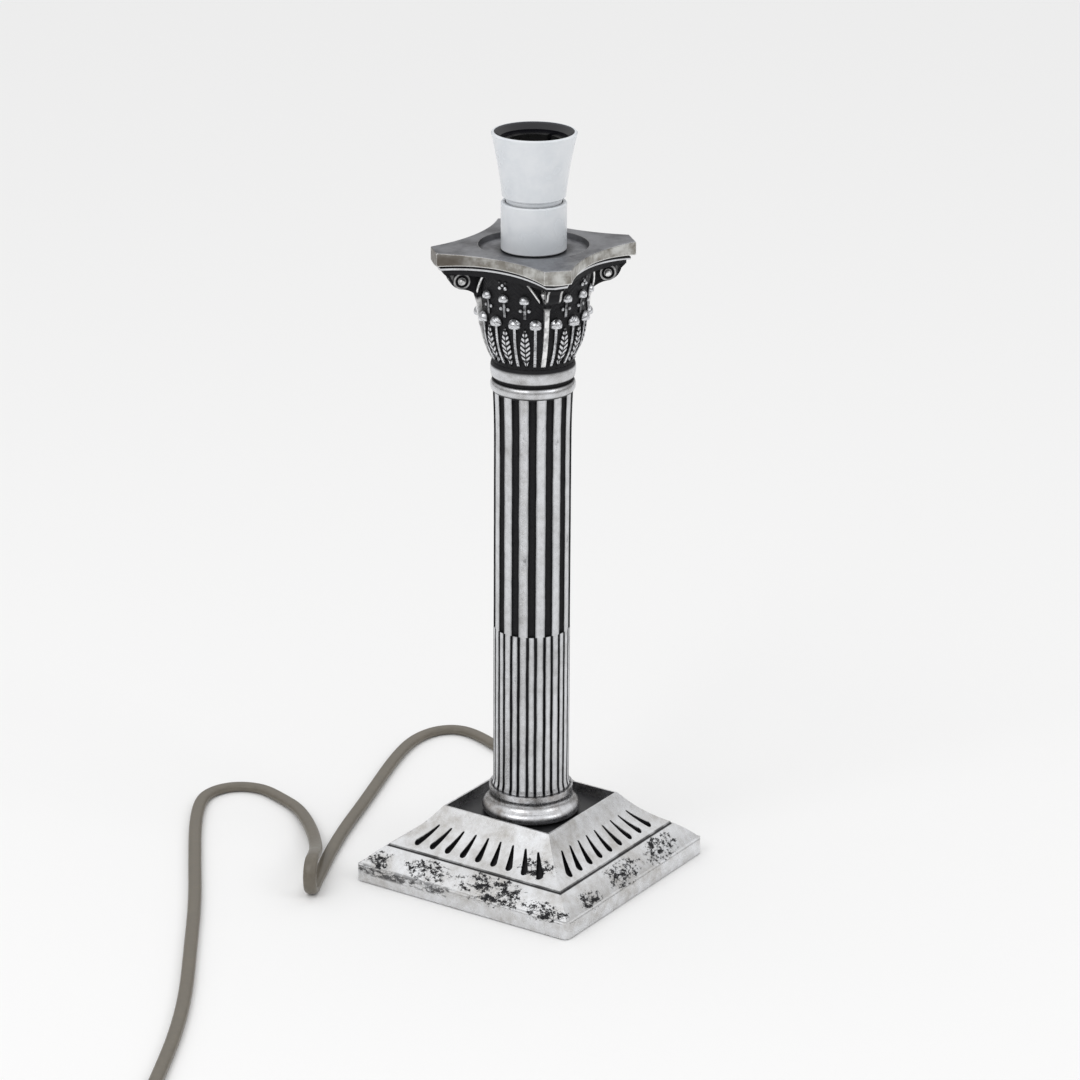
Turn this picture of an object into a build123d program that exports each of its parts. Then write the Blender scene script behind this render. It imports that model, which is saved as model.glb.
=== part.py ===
from build123d import *
import math
import os

os.makedirs("parts", exist_ok=True)

# All sizes in mm, +Z up, the origin on the floor under the middle of the base.
# The photographed view looks between the -Y side and the +X side.

# ---------------------------------------------------------------- driving dimensions
base_side = 110.0  # plinth apron, side to side
half_side = base_side / 2
plinth_top = 32.2
shaft_bottom = 40.3
shaft_top = 220.0
collar_top = 233.2
bell_top = 273.5
moulding_top = 276.9  # at the corners
abacus_top = 283.1
cup_top = 301.4
rim_top = 331.0
cord_width = 5.8  # flat flex, its wider side
cord_height = 3.8

# heights inside the base
hem_bottom = 0.5
felt_top = 1.5
plate_top = 2.7
well_floor = 27.7
well_plate_bottom = 25.9

# clearances
same_body_gap = 0.3  # between the base plate and the plinth wall
rod_gap = 0.3  # plain holes that the rod passes
thread_gap = 0.05  # radial, at nuts and at screws
skirt_gap = 0.3  # between the skirt's neck and the cup
block_gap = 0.3  # between the contact block and the skirt
plunger_gap = 0.08  # radial, round each contact plunger
flex_gap = 0.1  # round the flex in the bush and the clamp
cut_past = 1.0  # how far a cutting tool runs past a face

# the rod that clamps the stack
rod_radius = 5.0
rod_bore = 4.1
rod_bottom = 11.6
rod_top = abacus_top + 4.3
rod_hole = rod_radius + rod_gap
nut_hole = rod_radius + thread_gap
rod_nut_flats = 17.0
rod_nut_bottom = 12.8
rod_washer_bottom = 17.8
rod_washer_top = 19.0
rod_washer_radius = 11.0

# plinth
wall = 1.8
plinth_corner_radius = 3.0
well_half = half_side - 28.5
well_plate_half = well_half + 0.9
lug_offset = half_side - 9.5
lug_radius = 4.0
lug_top = 15.0
slot_count = 9
slot_pitch = 7.9  # at the lower, wider end of the slots
slot_lower = half_side - 14.4  # from the axis
slot_upper = half_side - 21.8
slot_lower_radius = 1.55
slot_upper_radius = 0.5
slot_depth = 1.4
slot_span = (14.0, 31.6)  # heights that the slot tools cover

# ballast
weight_half = half_side - 13.0
weight_chamfer = 4.0
weight_slab_top = 13.0
weight_boss_radius = 20.0
weight_counterbore = 12.0
channel_width = 8.0
channel_top = 8.2

# screws
base_screw_radius = 1.5
base_screw_head = 2.7
base_screw_head_height = 1.2
base_screw_tip = 9.0
clamp_screw_spacing = 13.0
clamp_screw_head = 2.3
clamp_screw_head_height = 1.4

# flex exit, on the rear side
exit_x = -20.0
exit_z = 4.9
flex_bend_y = half_side - 21.0
flex_middle_y = 18.0
bush_width = 7.8
bush_height = 5.4
bush_inner_y = half_side - 4.5
flange_width = 9.4
flange_height = 6.0
flange_thickness = 1.6
clamp_y = half_side - 10.5
clamp_depth = 4.0
clamp_width = 18.0
clamp_top = 8.6
notch_width = 12.0
notch_depth = 3.0
inner_bend = 16.0
rise_bend = 7.0
flex_top = rod_top + 0.2

# column
foot_spigot = 13.2
foot_spigot_top = 45.0
shaft_radius = 16.45
shaft_lip = 17.0
shaft_bore = 13.5
shaft_lip_top = 41.2
shaft_flare = 16.9
shaft_flare_start = 195.0
flute_count = 14
flute_start = -56.65  # degrees, one flute faces the view
flute_bottom = 113.85
flute_top = 219.5
flute_depth = 1.4
flute_half_width = 1.6
cable_half_width = 1.72
cable_groove = 1.1
cable_groove_depth = 0.9
collar_radius = 18.08
collar_groove = 16.3
collar_spigot_bottom = 215.0
collar_spigot_top = 237.0

# capital
capital_turn = 2.0  # degrees, how far the capital is turned on the column
leaf_count = 16  # in the lower row
leaf_step = 360 / leaf_count
leaf_stem = 1.1
leaf_lower_z = 254.9
leaf_lower_radius = 25.0  # from the axis to the tip
leaf_lower_dome = 2.75
leaf_upper_z = 265.6
leaf_upper_radius = 25.6
leaf_upper_dome = 2.3
dome_cut = -22  # degrees, where the dome of a leaf is cut flat below
bead_radius = 0.95
bead_z = 260.6
bead_spread = 1.7
ear_span = (234.6, 252.6)  # heights of an ear's foot and its tip
ear_half_width = 2.0
ear_relief = 0.8
rosette = (24.3, 271.2)  # radius, height
rosette_petal = 0.85
rosette_spread = 1.9
corner_stem = 1.9
stalk_radius = 0.55
scroll_centre = (31.2, 269.6)  # radius, height
scroll_radius = 3.5
scroll_width = 6.4
scroll_groove = (1.7, 2.7)
scroll_depth = 0.9
rim_width = 1.0  # the ridge along the edge of each corner bracket
eye_radius = 1.5
bell_cavity = 14.5
bell_socket = 13.4
bell_socket_top = 237.3
bell_cavity_bottom = 238.5
bell_cavity_top = 268.0

# abacus
abacus_corner = 42.5  # from the axis to the middle of a corner flat
abacus_flat = 11.4
abacus_bow = 5.25
abacus_arch = 2.0  # how much thinner the plate is in the middle of a side
arch_half_chord = 29.0
fillet_inset = 1.9
fillet_drop = (1.0, 2.2)  # its top and bottom, below the plate
neck_inset = 3.5
dish_floor = abacus_top - 2.1
dish_floor_radius = 22.5
dish_rim_radius = 23.5

# lampholder, a bayonet holder for a standard 22 mm cap
cup_radius = 13.75
cup_bore = 12.0
cup_floor = dish_floor + 2.2
lock_nut_flats = 14.0
lock_nut_top = cup_floor + 3.0
block_radius = 10.2
block_cavity = 8.6
block_cavity_top = cup_top - 10.4
terminal_side = 5.0
terminal_top = block_cavity_top + 4.0
terminal_screw_radius = 1.2
terminal_screw_z = block_cavity_top + 2.0
contact_offset = 4.7
plunger_bore = 2.05
plunger_tip_bore = 1.6
plunger_flange_bottom = terminal_top + 5.7
plunger_rest = plunger_flange_bottom + 1.9
plunger_shoulder = plunger_rest + 0.1
block_top = plunger_shoulder + 2.0
plunger_top = block_top + 3.2
spring_radius = 1.7
spring_bore = 1.2
lead_radius = 0.9
lead_start = 1.5
lead_straight = 1.0
lead_bend = 1.3
neck_bottom = cup_top - 8.4
skirt_shoulder = cup_top + 2.6
skirt_lower_radius = 13.3
skirt_waist = (15.15, (skirt_shoulder + rim_top) / 2)
rim_radius = 17.9
rim_bore = 16.7
bevel_radius = 14.3
bevel_z = rim_top - 2.6
seat_radius = 12.75
seat_z = cup_top + 7.1
barrel_bore = 11.15
barrel_radius = 12.5
barrel_flange = 13.7
barrel_top = rim_top - 4.0
barrel_flange_bottom = barrel_top - 1.5
slot_width = 2.4
slot_bottom = barrel_top - 11.0

# cord on the floor
floor_z = cord_width / 2
coil_turn_pitch = 6.4
coil_layer_pitch = 6.4
coil_floor = 0.95  # the tie's strip lies under the coil
coil_first_radius = 36.0
coil_climb_step = 1.0  # wider spacing beside the half turn that climbs
tie_thickness = 0.8
tie_width = 10.0
tie_gap = 0.1

# plug, a rectangular-pin mains plug that lies on its back
plug_length = 51.0
plug_width = 49.0
plug_height = 18.5
plug_shoulder = 30.0
plug_round = 3.0
plug_entry_z = 8.5
relief_length = 22.0
relief_tip = 3.4
relief_root = 5.2
live_pin_x = 16.0
live_pin_spacing = 22.2
live_pin_size = (4.0, 6.4)
live_pin_length = 17.7
earth_pin_x = 38.2
earth_pin_size = (8.0, 4.0)
earth_pin_length = 22.7
pin_root = 5.0  # how deep the pins sit in the body
fuse_size = (24.0, 7.4)
fuse_x = 27.2
fuse_depth = 8.0
fuse_lift = 0.4


# ---------------------------------------------------------------- shared shapes
def outline(points):
    """Draws a closed outline: a line to each point, or an arc where an entry holds a middle and an end point."""
    here = points[0]
    for entry in points[1:]:
        if isinstance(entry[0], tuple):
            ThreePointArc(here, entry[0], entry[1])
            here = entry[1]
        else:
            Line(here, entry)
            here = entry
    if here != points[0]:
        Line(here, points[0])


def turned(points):
    """Solid of revolution about Z from a closed outline of (radius, height) points."""
    with BuildPart() as solid:
        with BuildSketch(Plane.XZ):
            with BuildLine():
                outline(points)
            make_face()
        revolve(axis=Axis.Z)
    return solid.part


def block(half, bottom, top, corner=0.0):
    """Square slab round the axis, with its upright edges rounded if a corner radius is given."""
    with BuildPart() as slab:
        with BuildSketch(Plane.XY.offset(bottom)):
            if corner > 0:
                RectangleRounded(2 * half, 2 * half, corner)
            else:
                Rectangle(2 * half, 2 * half)
        extrude(amount=top - bottom)
    return slab.part


def plinth_solid(inset):
    """The plinth's outer form, or the same form smaller by the inset on its sides and its top."""
    edge = half_side
    side = [(0, hem_bottom), (edge, hem_bottom), (edge, 7.0), ((edge - 0.3, 7.7), (edge - 1.0, 8.0)),
            (edge - 1.4, 8.0), ((edge - 5.4, 12.1), (edge - 9.6, 15.4)), (edge - 10.2, 15.2),
            (edge - 10.6, 16.3), ((edge - 19.3, 22.8), (edge - 26.7, 31.0)), (edge - 27.7, plinth_top),
            (0, plinth_top)]

    def moved(point):
        across, height = point
        return (max(across - inset, 0), hem_bottom if height == hem_bottom else height - inset)

    half = [tuple(moved(p) for p in entry) if isinstance(entry[0], tuple) else moved(entry) for entry in side]
    with BuildPart() as solid:
        for plane, mode in ((Plane.XZ, Mode.ADD), (Plane.YZ, Mode.INTERSECT)):
            with BuildSketch(plane):
                with BuildLine():
                    outline(half)
                make_face()
                mirror(about=Plane.YZ)
            extrude(amount=base_side, both=True, mode=mode)
        if inset == 0:
            with BuildSketch(Plane.XY):
                RectangleRounded(base_side, base_side, plinth_corner_radius)
            extrude(amount=plinth_top + cut_past, mode=Mode.INTERSECT)
    return solid.part


def save(piece, name):
    piece.part.label = name
    export_step(piece.part, f"parts/{name}.step")


# ---------------------------------------------------------------- plinth
outer_form = plinth_solid(0)


def plinth_slot(step):
    """Plan of one slot in the +X side, narrower towards the column."""
    with BuildSketch() as slot:
        with Locations((slot_lower, step)):
            Circle(slot_lower_radius)
        with Locations((slot_upper, step * slot_upper / slot_lower)):
            Circle(slot_upper_radius)
        make_hull()
    return slot.sketch


with BuildPart() as slot_tools:
    with BuildSketch(Plane.XY.offset(slot_span[0])):
        with PolarLocations(0, 4):
            for index in range(slot_count):
                add(plinth_slot((index - (slot_count - 1) / 2) * slot_pitch))
    extrude(amount=slot_span[1] - slot_span[0])
    add(plinth_solid(slot_depth), mode=Mode.SUBTRACT)

with BuildPart() as lugs:
    with BuildSketch(Plane.XY.offset(plate_top)):
        with GridLocations(2 * lug_offset, 2 * lug_offset, 2, 2):
            Circle(lug_radius)
    extrude(amount=lug_top - plate_top)
    add(outer_form, mode=Mode.INTERSECT)

with BuildPart() as cavity:
    add(plinth_solid(wall))
    add(block(base_side, 0, well_floor), mode=Mode.INTERSECT)

with BuildPart() as base_shell:
    add(outer_form)
    add(cavity.part, mode=Mode.SUBTRACT)
    add(block(well_half, well_floor - cut_past, plinth_top + cut_past), mode=Mode.SUBTRACT)
    add(slot_tools.part, mode=Mode.SUBTRACT)
    add(lugs.part)
    with BuildSketch(Plane.XY.offset(plate_top)):
        with GridLocations(2 * lug_offset, 2 * lug_offset, 2, 2):
            Circle(base_screw_radius + thread_gap)
    extrude(amount=base_screw_tip - plate_top, mode=Mode.SUBTRACT)
    with BuildSketch(Plane.XZ.offset(-bush_inner_y)):
        with Locations((exit_x, exit_z)):
            SlotOverall(bush_width, bush_height)
    extrude(amount=bush_inner_y - base_side, mode=Mode.SUBTRACT)
save(base_shell, "base_shell")

plate_half = half_side - wall - same_body_gap

with BuildPart() as felt_pad:
    add(block(plate_half - same_body_gap, 0, felt_top, plinth_corner_radius))
save(felt_pad, "felt_pad")

with BuildPart() as bottom_plate:
    add(block(plate_half, felt_top, plate_top))
    with Locations((0, 0, felt_top)):
        with GridLocations(2 * lug_offset, 2 * lug_offset, 2, 2):
            Cone(base_screw_head + thread_gap, base_screw_radius + thread_gap, base_screw_head_height,
                 align=(Align.CENTER, Align.CENTER, Align.MIN), mode=Mode.SUBTRACT)
    with BuildSketch(Plane.XY.offset(felt_top)):
        with Locations((exit_x, plate_half - notch_depth / 2)):
            Rectangle(notch_width, notch_depth)
        with Locations((exit_x, clamp_y)):
            with GridLocations(clamp_screw_spacing, 0, 2, 1):
                Circle(base_screw_radius + thread_gap)
    extrude(amount=plate_top - felt_top, mode=Mode.SUBTRACT)
save(bottom_plate, "bottom_plate")

for index, (sign_x, sign_y) in enumerate(((1, 1), (-1, 1), (-1, -1), (1, -1)), start=1):
    screw_plane = Plane((sign_x * lug_offset, sign_y * lug_offset, felt_top))
    with BuildPart() as base_screw:
        with BuildSketch(screw_plane):
            Circle(base_screw_head)
        with BuildSketch(screw_plane.offset(base_screw_head_height)):
            Circle(base_screw_radius)
        loft(ruled=True)
        with BuildSketch(screw_plane.offset(base_screw_head_height)):
            Circle(base_screw_radius)
        extrude(amount=base_screw_tip - felt_top - base_screw_head_height)
    save(base_screw, f"base_screw_{index}")

with BuildPart() as channel:
    with BuildLine() as channel_line:
        FilletPolyline((exit_x, half_side), (exit_x, flex_bend_y), (0, flex_middle_y), (0, 0), radius=inner_bend)
    with BuildSketch(Plane.XY.offset(plate_top)):
        trace(channel_line.line, line_width=channel_width)
    extrude(amount=channel_top - plate_top)

with BuildPart() as base_weight:
    add(block(weight_half, plate_top, weight_slab_top))
    chamfer(base_weight.edges().filter_by(Axis.Z), weight_chamfer)
    with BuildSketch(Plane.XY.offset(weight_slab_top)):
        Circle(weight_boss_radius)
    extrude(amount=well_plate_bottom - weight_slab_top)
    with BuildSketch(Plane.XY.offset(plate_top)):
        Circle(weight_counterbore)
    extrude(amount=rod_washer_top - plate_top, mode=Mode.SUBTRACT)
    with BuildSketch(Plane.XY.offset(plate_top)):
        Circle(rod_hole)
    extrude(amount=well_floor, mode=Mode.SUBTRACT)
    add(channel.part, mode=Mode.SUBTRACT)
save(base_weight, "base_weight")

with BuildPart() as well_plate:
    add(block(well_plate_half, well_plate_bottom, well_floor))
    with BuildSketch(Plane.XY.offset(well_plate_bottom)):
        Circle(rod_hole)
    extrude(amount=well_floor - well_plate_bottom, mode=Mode.SUBTRACT)
save(well_plate, "well_plate")

with BuildPart() as rod_washer:
    with BuildSketch(Plane.XY.offset(rod_washer_bottom)):
        Circle(rod_washer_radius)
        Circle(nut_hole, mode=Mode.SUBTRACT)
    extrude(amount=rod_washer_top - rod_washer_bottom)
save(rod_washer, "rod_washer")

with BuildPart() as rod_nut:
    with BuildSketch(Plane.XY.offset(rod_nut_bottom)):
        RegularPolygon(rod_nut_flats / 2, 6, major_radius=False)
        Circle(nut_hole, mode=Mode.SUBTRACT)
    extrude(amount=rod_washer_bottom - rod_nut_bottom)
save(rod_nut, "rod_nut")

with BuildPart() as tie_rod:
    with BuildSketch(Plane.XY.offset(rod_bottom)):
        Circle(rod_radius)
        Circle(rod_bore, mode=Mode.SUBTRACT)
    extrude(amount=rod_top - rod_bottom)
save(tie_rod, "tie_rod")

# ---------------------------------------------------------------- flex exit and inner flex
with BuildPart() as cord_bush:
    with BuildSketch(Plane.XZ.offset(-half_side)):
        with Locations((exit_x, exit_z)):
            SlotOverall(flange_width, flange_height)
    extrude(amount=-flange_thickness)
    with BuildSketch(Plane.XZ.offset(-bush_inner_y)):
        with Locations((exit_x, exit_z)):
            SlotOverall(bush_width, bush_height)
    extrude(amount=bush_inner_y - half_side)
    with BuildSketch(Plane.XZ.offset(-bush_inner_y)):
        with Locations((exit_x, exit_z)):
            SlotOverall(cord_width + 2 * flex_gap, cord_height + 2 * flex_gap)
    extrude(amount=bush_inner_y - base_side, mode=Mode.SUBTRACT)
save(cord_bush, "cord_bush")

exit_y = half_side + flange_thickness

with BuildPart() as inner_flex:
    with BuildLine() as lying_line:
        FilletPolyline((exit_x, exit_y, exit_z), (exit_x, flex_bend_y, exit_z), (0, flex_middle_y, exit_z),
                       (0, rise_bend, exit_z), radius=inner_bend)
    with BuildSketch(Plane((exit_x, exit_y, exit_z), x_dir=(1, 0, 0), z_dir=(0, -1, 0))):
        SlotOverall(cord_width, cord_height)
    sweep(path=lying_line.wire())
    with BuildLine(Plane.YZ) as rising_line:
        turn = RadiusArc((rise_bend, exit_z), (0, exit_z + rise_bend), rise_bend, short_sagitta=True)
        Line(turn @ 1, (0, flex_top))
    with BuildSketch(Plane((0, rise_bend, exit_z), x_dir=(1, 0, 0), z_dir=(0, -1, 0))):
        SlotOverall(cord_width, cord_height)
    sweep(path=rising_line.wire())
save(inner_flex, "inner_flex")

with BuildPart() as cord_clamp:
    with BuildSketch(Plane.XY.offset(plate_top)):
        with Locations((exit_x, clamp_y)):
            Rectangle(clamp_width, clamp_depth)
            with GridLocations(clamp_screw_spacing, 0, 2, 1):
                Circle(base_screw_radius + thread_gap, mode=Mode.SUBTRACT)
    extrude(amount=clamp_top - plate_top)
    with Locations((exit_x, clamp_y, plate_top)):
        Box(cord_width + 2 * flex_gap, clamp_depth, exit_z + cord_height / 2 - plate_top + flex_gap / 2,
            align=(Align.CENTER, Align.CENTER, Align.MIN), mode=Mode.SUBTRACT)
save(cord_clamp, "cord_clamp")

for index, sign_x in enumerate((-1, 1), start=1):
    clamp_screw_plane = Plane((exit_x + sign_x * clamp_screw_spacing / 2, clamp_y, felt_top))
    with BuildPart() as clamp_screw:
        with BuildSketch(clamp_screw_plane):
            Circle(base_screw_radius)
        extrude(amount=clamp_top - felt_top)
        with BuildSketch(clamp_screw_plane.offset(clamp_top - felt_top)):
            Circle(clamp_screw_head)
        extrude(amount=clamp_screw_head_height)
    save(clamp_screw, f"clamp_screw_{index}")

# ---------------------------------------------------------------- column
with BuildPart() as column_foot:
    add(turned([(rod_hole, well_floor), (19.6, well_floor), ((21.3, 30.35), (19.6, 33.0)), (18.9, 33.6),
                ((17.9, 35.3), (18.0, 37.4)), (18.2, 37.8), (18.2, shaft_bottom), (foot_spigot, shaft_bottom),
                (foot_spigot, foot_spigot_top), (rod_hole, foot_spigot_top)]))
save(column_foot, "column_foot")

with BuildPart() as fluted_shaft:
    add(turned([(shaft_bore, shaft_bottom), (shaft_lip, shaft_bottom), (shaft_lip, shaft_lip_top),
                (16.6, 42.6), (shaft_radius, 44.2), (shaft_radius, shaft_flare_start),
                ((16.6, 210.0), (shaft_flare, flute_top - cut_past)), (shaft_flare, shaft_top),
                (shaft_bore, shaft_top)]))
    with BuildSketch(Plane.XY.offset(flute_bottom)):
        with PolarLocations(shaft_radius, flute_count, start_angle=flute_start):
            Ellipse(flute_depth, flute_half_width)
    extrude(amount=flute_top - flute_bottom, mode=Mode.SUBTRACT)
    with BuildSketch(Plane.XY.offset(shaft_lip_top)):
        with PolarLocations(shaft_radius, flute_count, start_angle=flute_start):
            for side in (-1, 1):
                with Locations((0, side * cable_half_width)):
                    Rectangle(2 * cable_groove_depth, cable_groove)
    extrude(amount=flute_bottom - shaft_lip_top, mode=Mode.SUBTRACT)
save(fluted_shaft, "fluted_shaft")

with BuildPart() as neck_collar:
    add(turned([(rod_hole, collar_spigot_bottom), (foot_spigot, collar_spigot_bottom), (foot_spigot, shaft_top),
                (17.0, shaft_top), ((collar_radius, 222.4), (17.2, 224.8)), (collar_groove, 224.9),
                (collar_groove, 226.6), (17.6, 226.7), ((collar_radius, 229.9), (17.4, collar_top)),
                (foot_spigot, collar_top), (foot_spigot, collar_spigot_top), (rod_hole, collar_spigot_top)]))
save(neck_collar, "neck_collar")

# ---------------------------------------------------------------- capital
bell_side = [(17.2, collar_top), (17.0, 236.5), (18.5, 238.5), (19.6, 240.8), (20.6, 243.6), (21.3, 247.0),
             (21.7, 251.5), (22.1, 257.0), (22.6, 262.0), (23.4, 268.0), (24.8, bell_top)]


def bell_core(proud=0.0):
    """The solid bell without its leaves, or the same form further out by the amount given."""
    side = [(radius + proud, height) for radius, height in bell_side]
    solid = turned([(0, collar_top)] + side + [(0, bell_top)])
    return solid.rotate(Axis.Z, leaf_step / 4)  # its seam stays clear of the leaves


def leaf(stem, tip_radius, tip_z, dome):
    """A leaf at +X: a thin stem with the given side outline, and a tip domed above and flat below."""
    with BuildPart() as one:
        with BuildSketch(Plane.XZ):
            with BuildLine():
                outline(stem)
            make_face()
        extrude(amount=leaf_stem / 2, both=True)
        with Locations((tip_radius - dome, 0, tip_z)):
            Sphere(dome, arc_size1=dome_cut)
    return one.part


lower_leaf = leaf([(16.0, collar_top + 1.6), (17.6, collar_top + 1.6), ((20.6, 241.0), (22.3, 248.2)),
                   (23.0, leaf_lower_z), (16.0, leaf_lower_z)],
                  leaf_lower_radius, leaf_lower_z, leaf_lower_dome)
upper_leaf = leaf([(20.0, 257.0), (22.8, 257.0), (23.6, leaf_upper_z), (20.0, leaf_upper_z)],
                  leaf_upper_radius, leaf_upper_z, leaf_upper_dome)
ear_angles = [leaf_step * index for index in range(leaf_count) if (leaf_step * index) % 90 != 45]

with BuildPart() as bead_pair:
    for side in (-1, 1):
        with Locations((22.5, side * bead_spread, bead_z)):
            Sphere(bead_radius)

with BuildPart() as ear:
    with BuildSketch(Plane.YZ):
        with BuildLine():
            middle_z = sum(ear_span) / 2
            outline([(0, ear_span[0]), ((ear_half_width, middle_z), (0, ear_span[1])),
                     ((-ear_half_width, middle_z), (0, ear_span[0]))])
        make_face()
    extrude(amount=half_side)
    add(bell_core(ear_relief), mode=Mode.INTERSECT)

with BuildPart() as flower:
    for turn in range(4):
        angle = math.radians(45 + 90 * turn)
        with Locations((rosette[0], rosette_spread * math.cos(angle), rosette[1] + rosette_spread * math.sin(angle))):
            Sphere(rosette_petal)
    with Locations((rosette[0], 0, rosette[1])):
        Sphere(rosette_petal)

with BuildPart() as bell:
    add(bell_core())
    with PolarLocations(0, leaf_count, start_angle=leaf_step / 2):
        add(lower_leaf)
    with Locations(*(Rotation(0, 0, angle) for angle in ear_angles)):
        add(upper_leaf)
        add(bead_pair.part)
        add(ear.part)
    with PolarLocations(0, 4):
        add(flower.part)
    add(block(base_side, collar_top, bell_top), mode=Mode.INTERSECT)

with BuildPart() as bell_hollow:
    add(turned([(0, collar_top - cut_past), (bell_socket, collar_top - cut_past), (bell_socket, bell_socket_top),
                (rod_hole, bell_socket_top), (rod_hole, bell_cavity_bottom), (bell_cavity, bell_cavity_bottom),
                (bell_cavity, bell_cavity_top), (rod_hole, bell_cavity_top), (rod_hole, bell_top + cut_past),
                (0, bell_top + cut_past)]))

with BuildPart() as capital_bell:
    with Locations(Rotation(0, 0, capital_turn)):
        add(bell.part)
    add(bell_hollow.part, mode=Mode.SUBTRACT)
save(capital_bell, "capital_bell")


def volute():
    """Corner bracket with its scroll, its stem and its two stalks, in the plane of +X, cut to fit the bell."""
    scroll_r, scroll_z = scroll_centre
    front = scroll_r + scroll_radius + 1.0
    edge = [(20.0, 262.5), (24.4, 262.5), ((27.6, 265.0), (31.4, scroll_z - scroll_radius)),
            ((front - 0.7, scroll_z - 1.6), (front + 1.2, scroll_z + 1.8)), (front + 3.4, bell_top), (20.0, bell_top)]
    with BuildPart() as one:
        for inset, half_width in ((0, scroll_width / 2 - scroll_depth), (rim_width, scroll_width / 2)):
            with BuildSketch(Plane.XZ):
                with BuildLine():
                    outline(edge)
                make_face()
                if inset > 0:
                    with BuildLine():
                        outline(edge)
                    make_face()
                    offset(amount=-inset, mode=Mode.SUBTRACT)
            extrude(amount=half_width, both=True)
        with Locations(Location((scroll_r, 0, scroll_z), (90, 0, 0))):
            Cylinder(scroll_radius, scroll_width)
        for side in (-1, 1):
            with BuildSketch(Plane(origin=(scroll_r, side * scroll_width / 2, scroll_z), z_dir=(0, -side, 0))):
                Circle(scroll_groove[1])
                Circle(scroll_groove[0], mode=Mode.SUBTRACT)
            extrude(amount=scroll_depth, mode=Mode.SUBTRACT)
            with Locations((scroll_r, side * (scroll_width / 2 - 0.2), scroll_z)):
                Sphere(eye_radius)
        with BuildSketch(Plane.YZ):
            with BuildLine():
                outline([(-corner_stem / 2, 260.0), (corner_stem / 2, 260.0), (scroll_width / 2, 268.0),
                         (scroll_width, bell_top), (-scroll_width, bell_top), (-scroll_width / 2, 268.0)])
            make_face()
        extrude(amount=base_side, mode=Mode.INTERSECT)
        with BuildSketch(Plane.XZ):
            with BuildLine():
                outline([(15.0, 235.0), (18.2, 235.0), ((22.5, 247.0), (24.3, 259.0)), (25.6, 264.0),
                         (15.0, 264.0)])
            make_face()
        extrude(amount=corner_stem / 2, both=True)
        for side in (-1, 1):
            with BuildLine() as stalk:
                ThreePointArc((24.2, 0, 260.5), (24.6, side * 4.4, 267.0), (23.2, side * 9.2, bell_top + 0.5))
            with BuildSketch(Plane(origin=stalk.line @ 0, z_dir=stalk.line % 0)):
                Circle(stalk_radius)
            sweep(path=stalk.wire())
        add(block(base_side, collar_top, bell_top), mode=Mode.INTERSECT)
        with Locations(Rotation(0, 0, -45)):
            add(bell.part, mode=Mode.SUBTRACT)
    return one.part


def biggest(piece):
    """The largest solid of a piece, without loose crumbs left by a cut."""
    return piece.solids().sort_by(SortBy.VOLUME)[-1]


corner_scroll = biggest(volute())
for index in range(4):
    with BuildPart() as corner_volute:
        with Locations(Rotation(0, 0, 45 + 90 * index + capital_turn)):
            add(corner_scroll)
    save(corner_volute, f"corner_volute_{index + 1}")


def abacus_plan():
    """Square with its corners cut flat and its sides bowed inwards."""
    flat_x = (abacus_corner + abacus_flat / 2) / math.sqrt(2)
    flat_y = (abacus_corner - abacus_flat / 2) / math.sqrt(2)
    bow = flat_x - abacus_bow
    with BuildSketch() as plan:
        with BuildLine():
            outline([(flat_x, flat_y), (flat_y, flat_x), ((0, bow), (-flat_y, flat_x)), (-flat_x, flat_y),
                     ((-bow, 0), (-flat_x, -flat_y)), (-flat_y, -flat_x), ((0, -bow), (flat_y, -flat_x)),
                     (flat_x, -flat_y), ((bow, 0), (flat_x, flat_y))])
        make_face()
    return plan.sketch


def below_arches(drop):
    """Everything below the plate's arched underside, lowered by the drop."""
    foot = bell_top - cut_past
    spring_z = moulding_top - drop
    with BuildPart() as one:
        for plane in (Plane.XZ, Plane.YZ):
            with BuildSketch(plane):
                with BuildLine():
                    outline([(-half_side, foot), (half_side, foot), (half_side, spring_z), (arch_half_chord, spring_z),
                             ((0, spring_z + abacus_arch), (-arch_half_chord, spring_z)), (-half_side, spring_z)])
                make_face()
            extrude(amount=half_side, both=True)
    return one.part


def abacus_slab(inset, bottom, top):
    """The abacus plan, made smaller by the inset, between two heights."""
    with BuildPart() as slab:
        with BuildSketch(Plane.XY.offset(bottom)):
            add(abacus_plan())
            if inset > 0:
                offset(amount=-inset, kind=Kind.INTERSECTION)
            Circle(rod_hole, mode=Mode.SUBTRACT)
        extrude(amount=top - bottom)
    return slab.part


with BuildPart() as abacus_moulding:
    with BuildPart(mode=Mode.PRIVATE) as neck:
        add(abacus_slab(neck_inset, bell_top, dish_floor))
        add(below_arches(0), mode=Mode.INTERSECT)
    with BuildPart(mode=Mode.PRIVATE) as fillet_band:
        add(abacus_slab(fillet_inset, bell_top, dish_floor))
        add(below_arches(fillet_drop[0]), mode=Mode.INTERSECT)
        add(below_arches(fillet_drop[1]), mode=Mode.SUBTRACT)
    with Locations(Rotation(0, 0, capital_turn)):
        add(neck.part)
        add(fillet_band.part)
save(abacus_moulding, "abacus_moulding")

with BuildPart() as plate_blank:
    add(abacus_slab(0, moulding_top, abacus_top))
    fillet(plate_blank.faces().sort_by(Axis.Z)[-1].outer_wire().edges(), 0.6)
    add(below_arches(0), mode=Mode.SUBTRACT)

with BuildPart() as abacus_plate:
    with Locations(Rotation(0, 0, capital_turn)):
        add(plate_blank.part)
    add(turned([(0, dish_floor), (dish_floor_radius, dish_floor), (dish_rim_radius, abacus_top + cut_past),
                (0, abacus_top + cut_past)]), mode=Mode.SUBTRACT)
save(abacus_plate, "abacus_plate")

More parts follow.
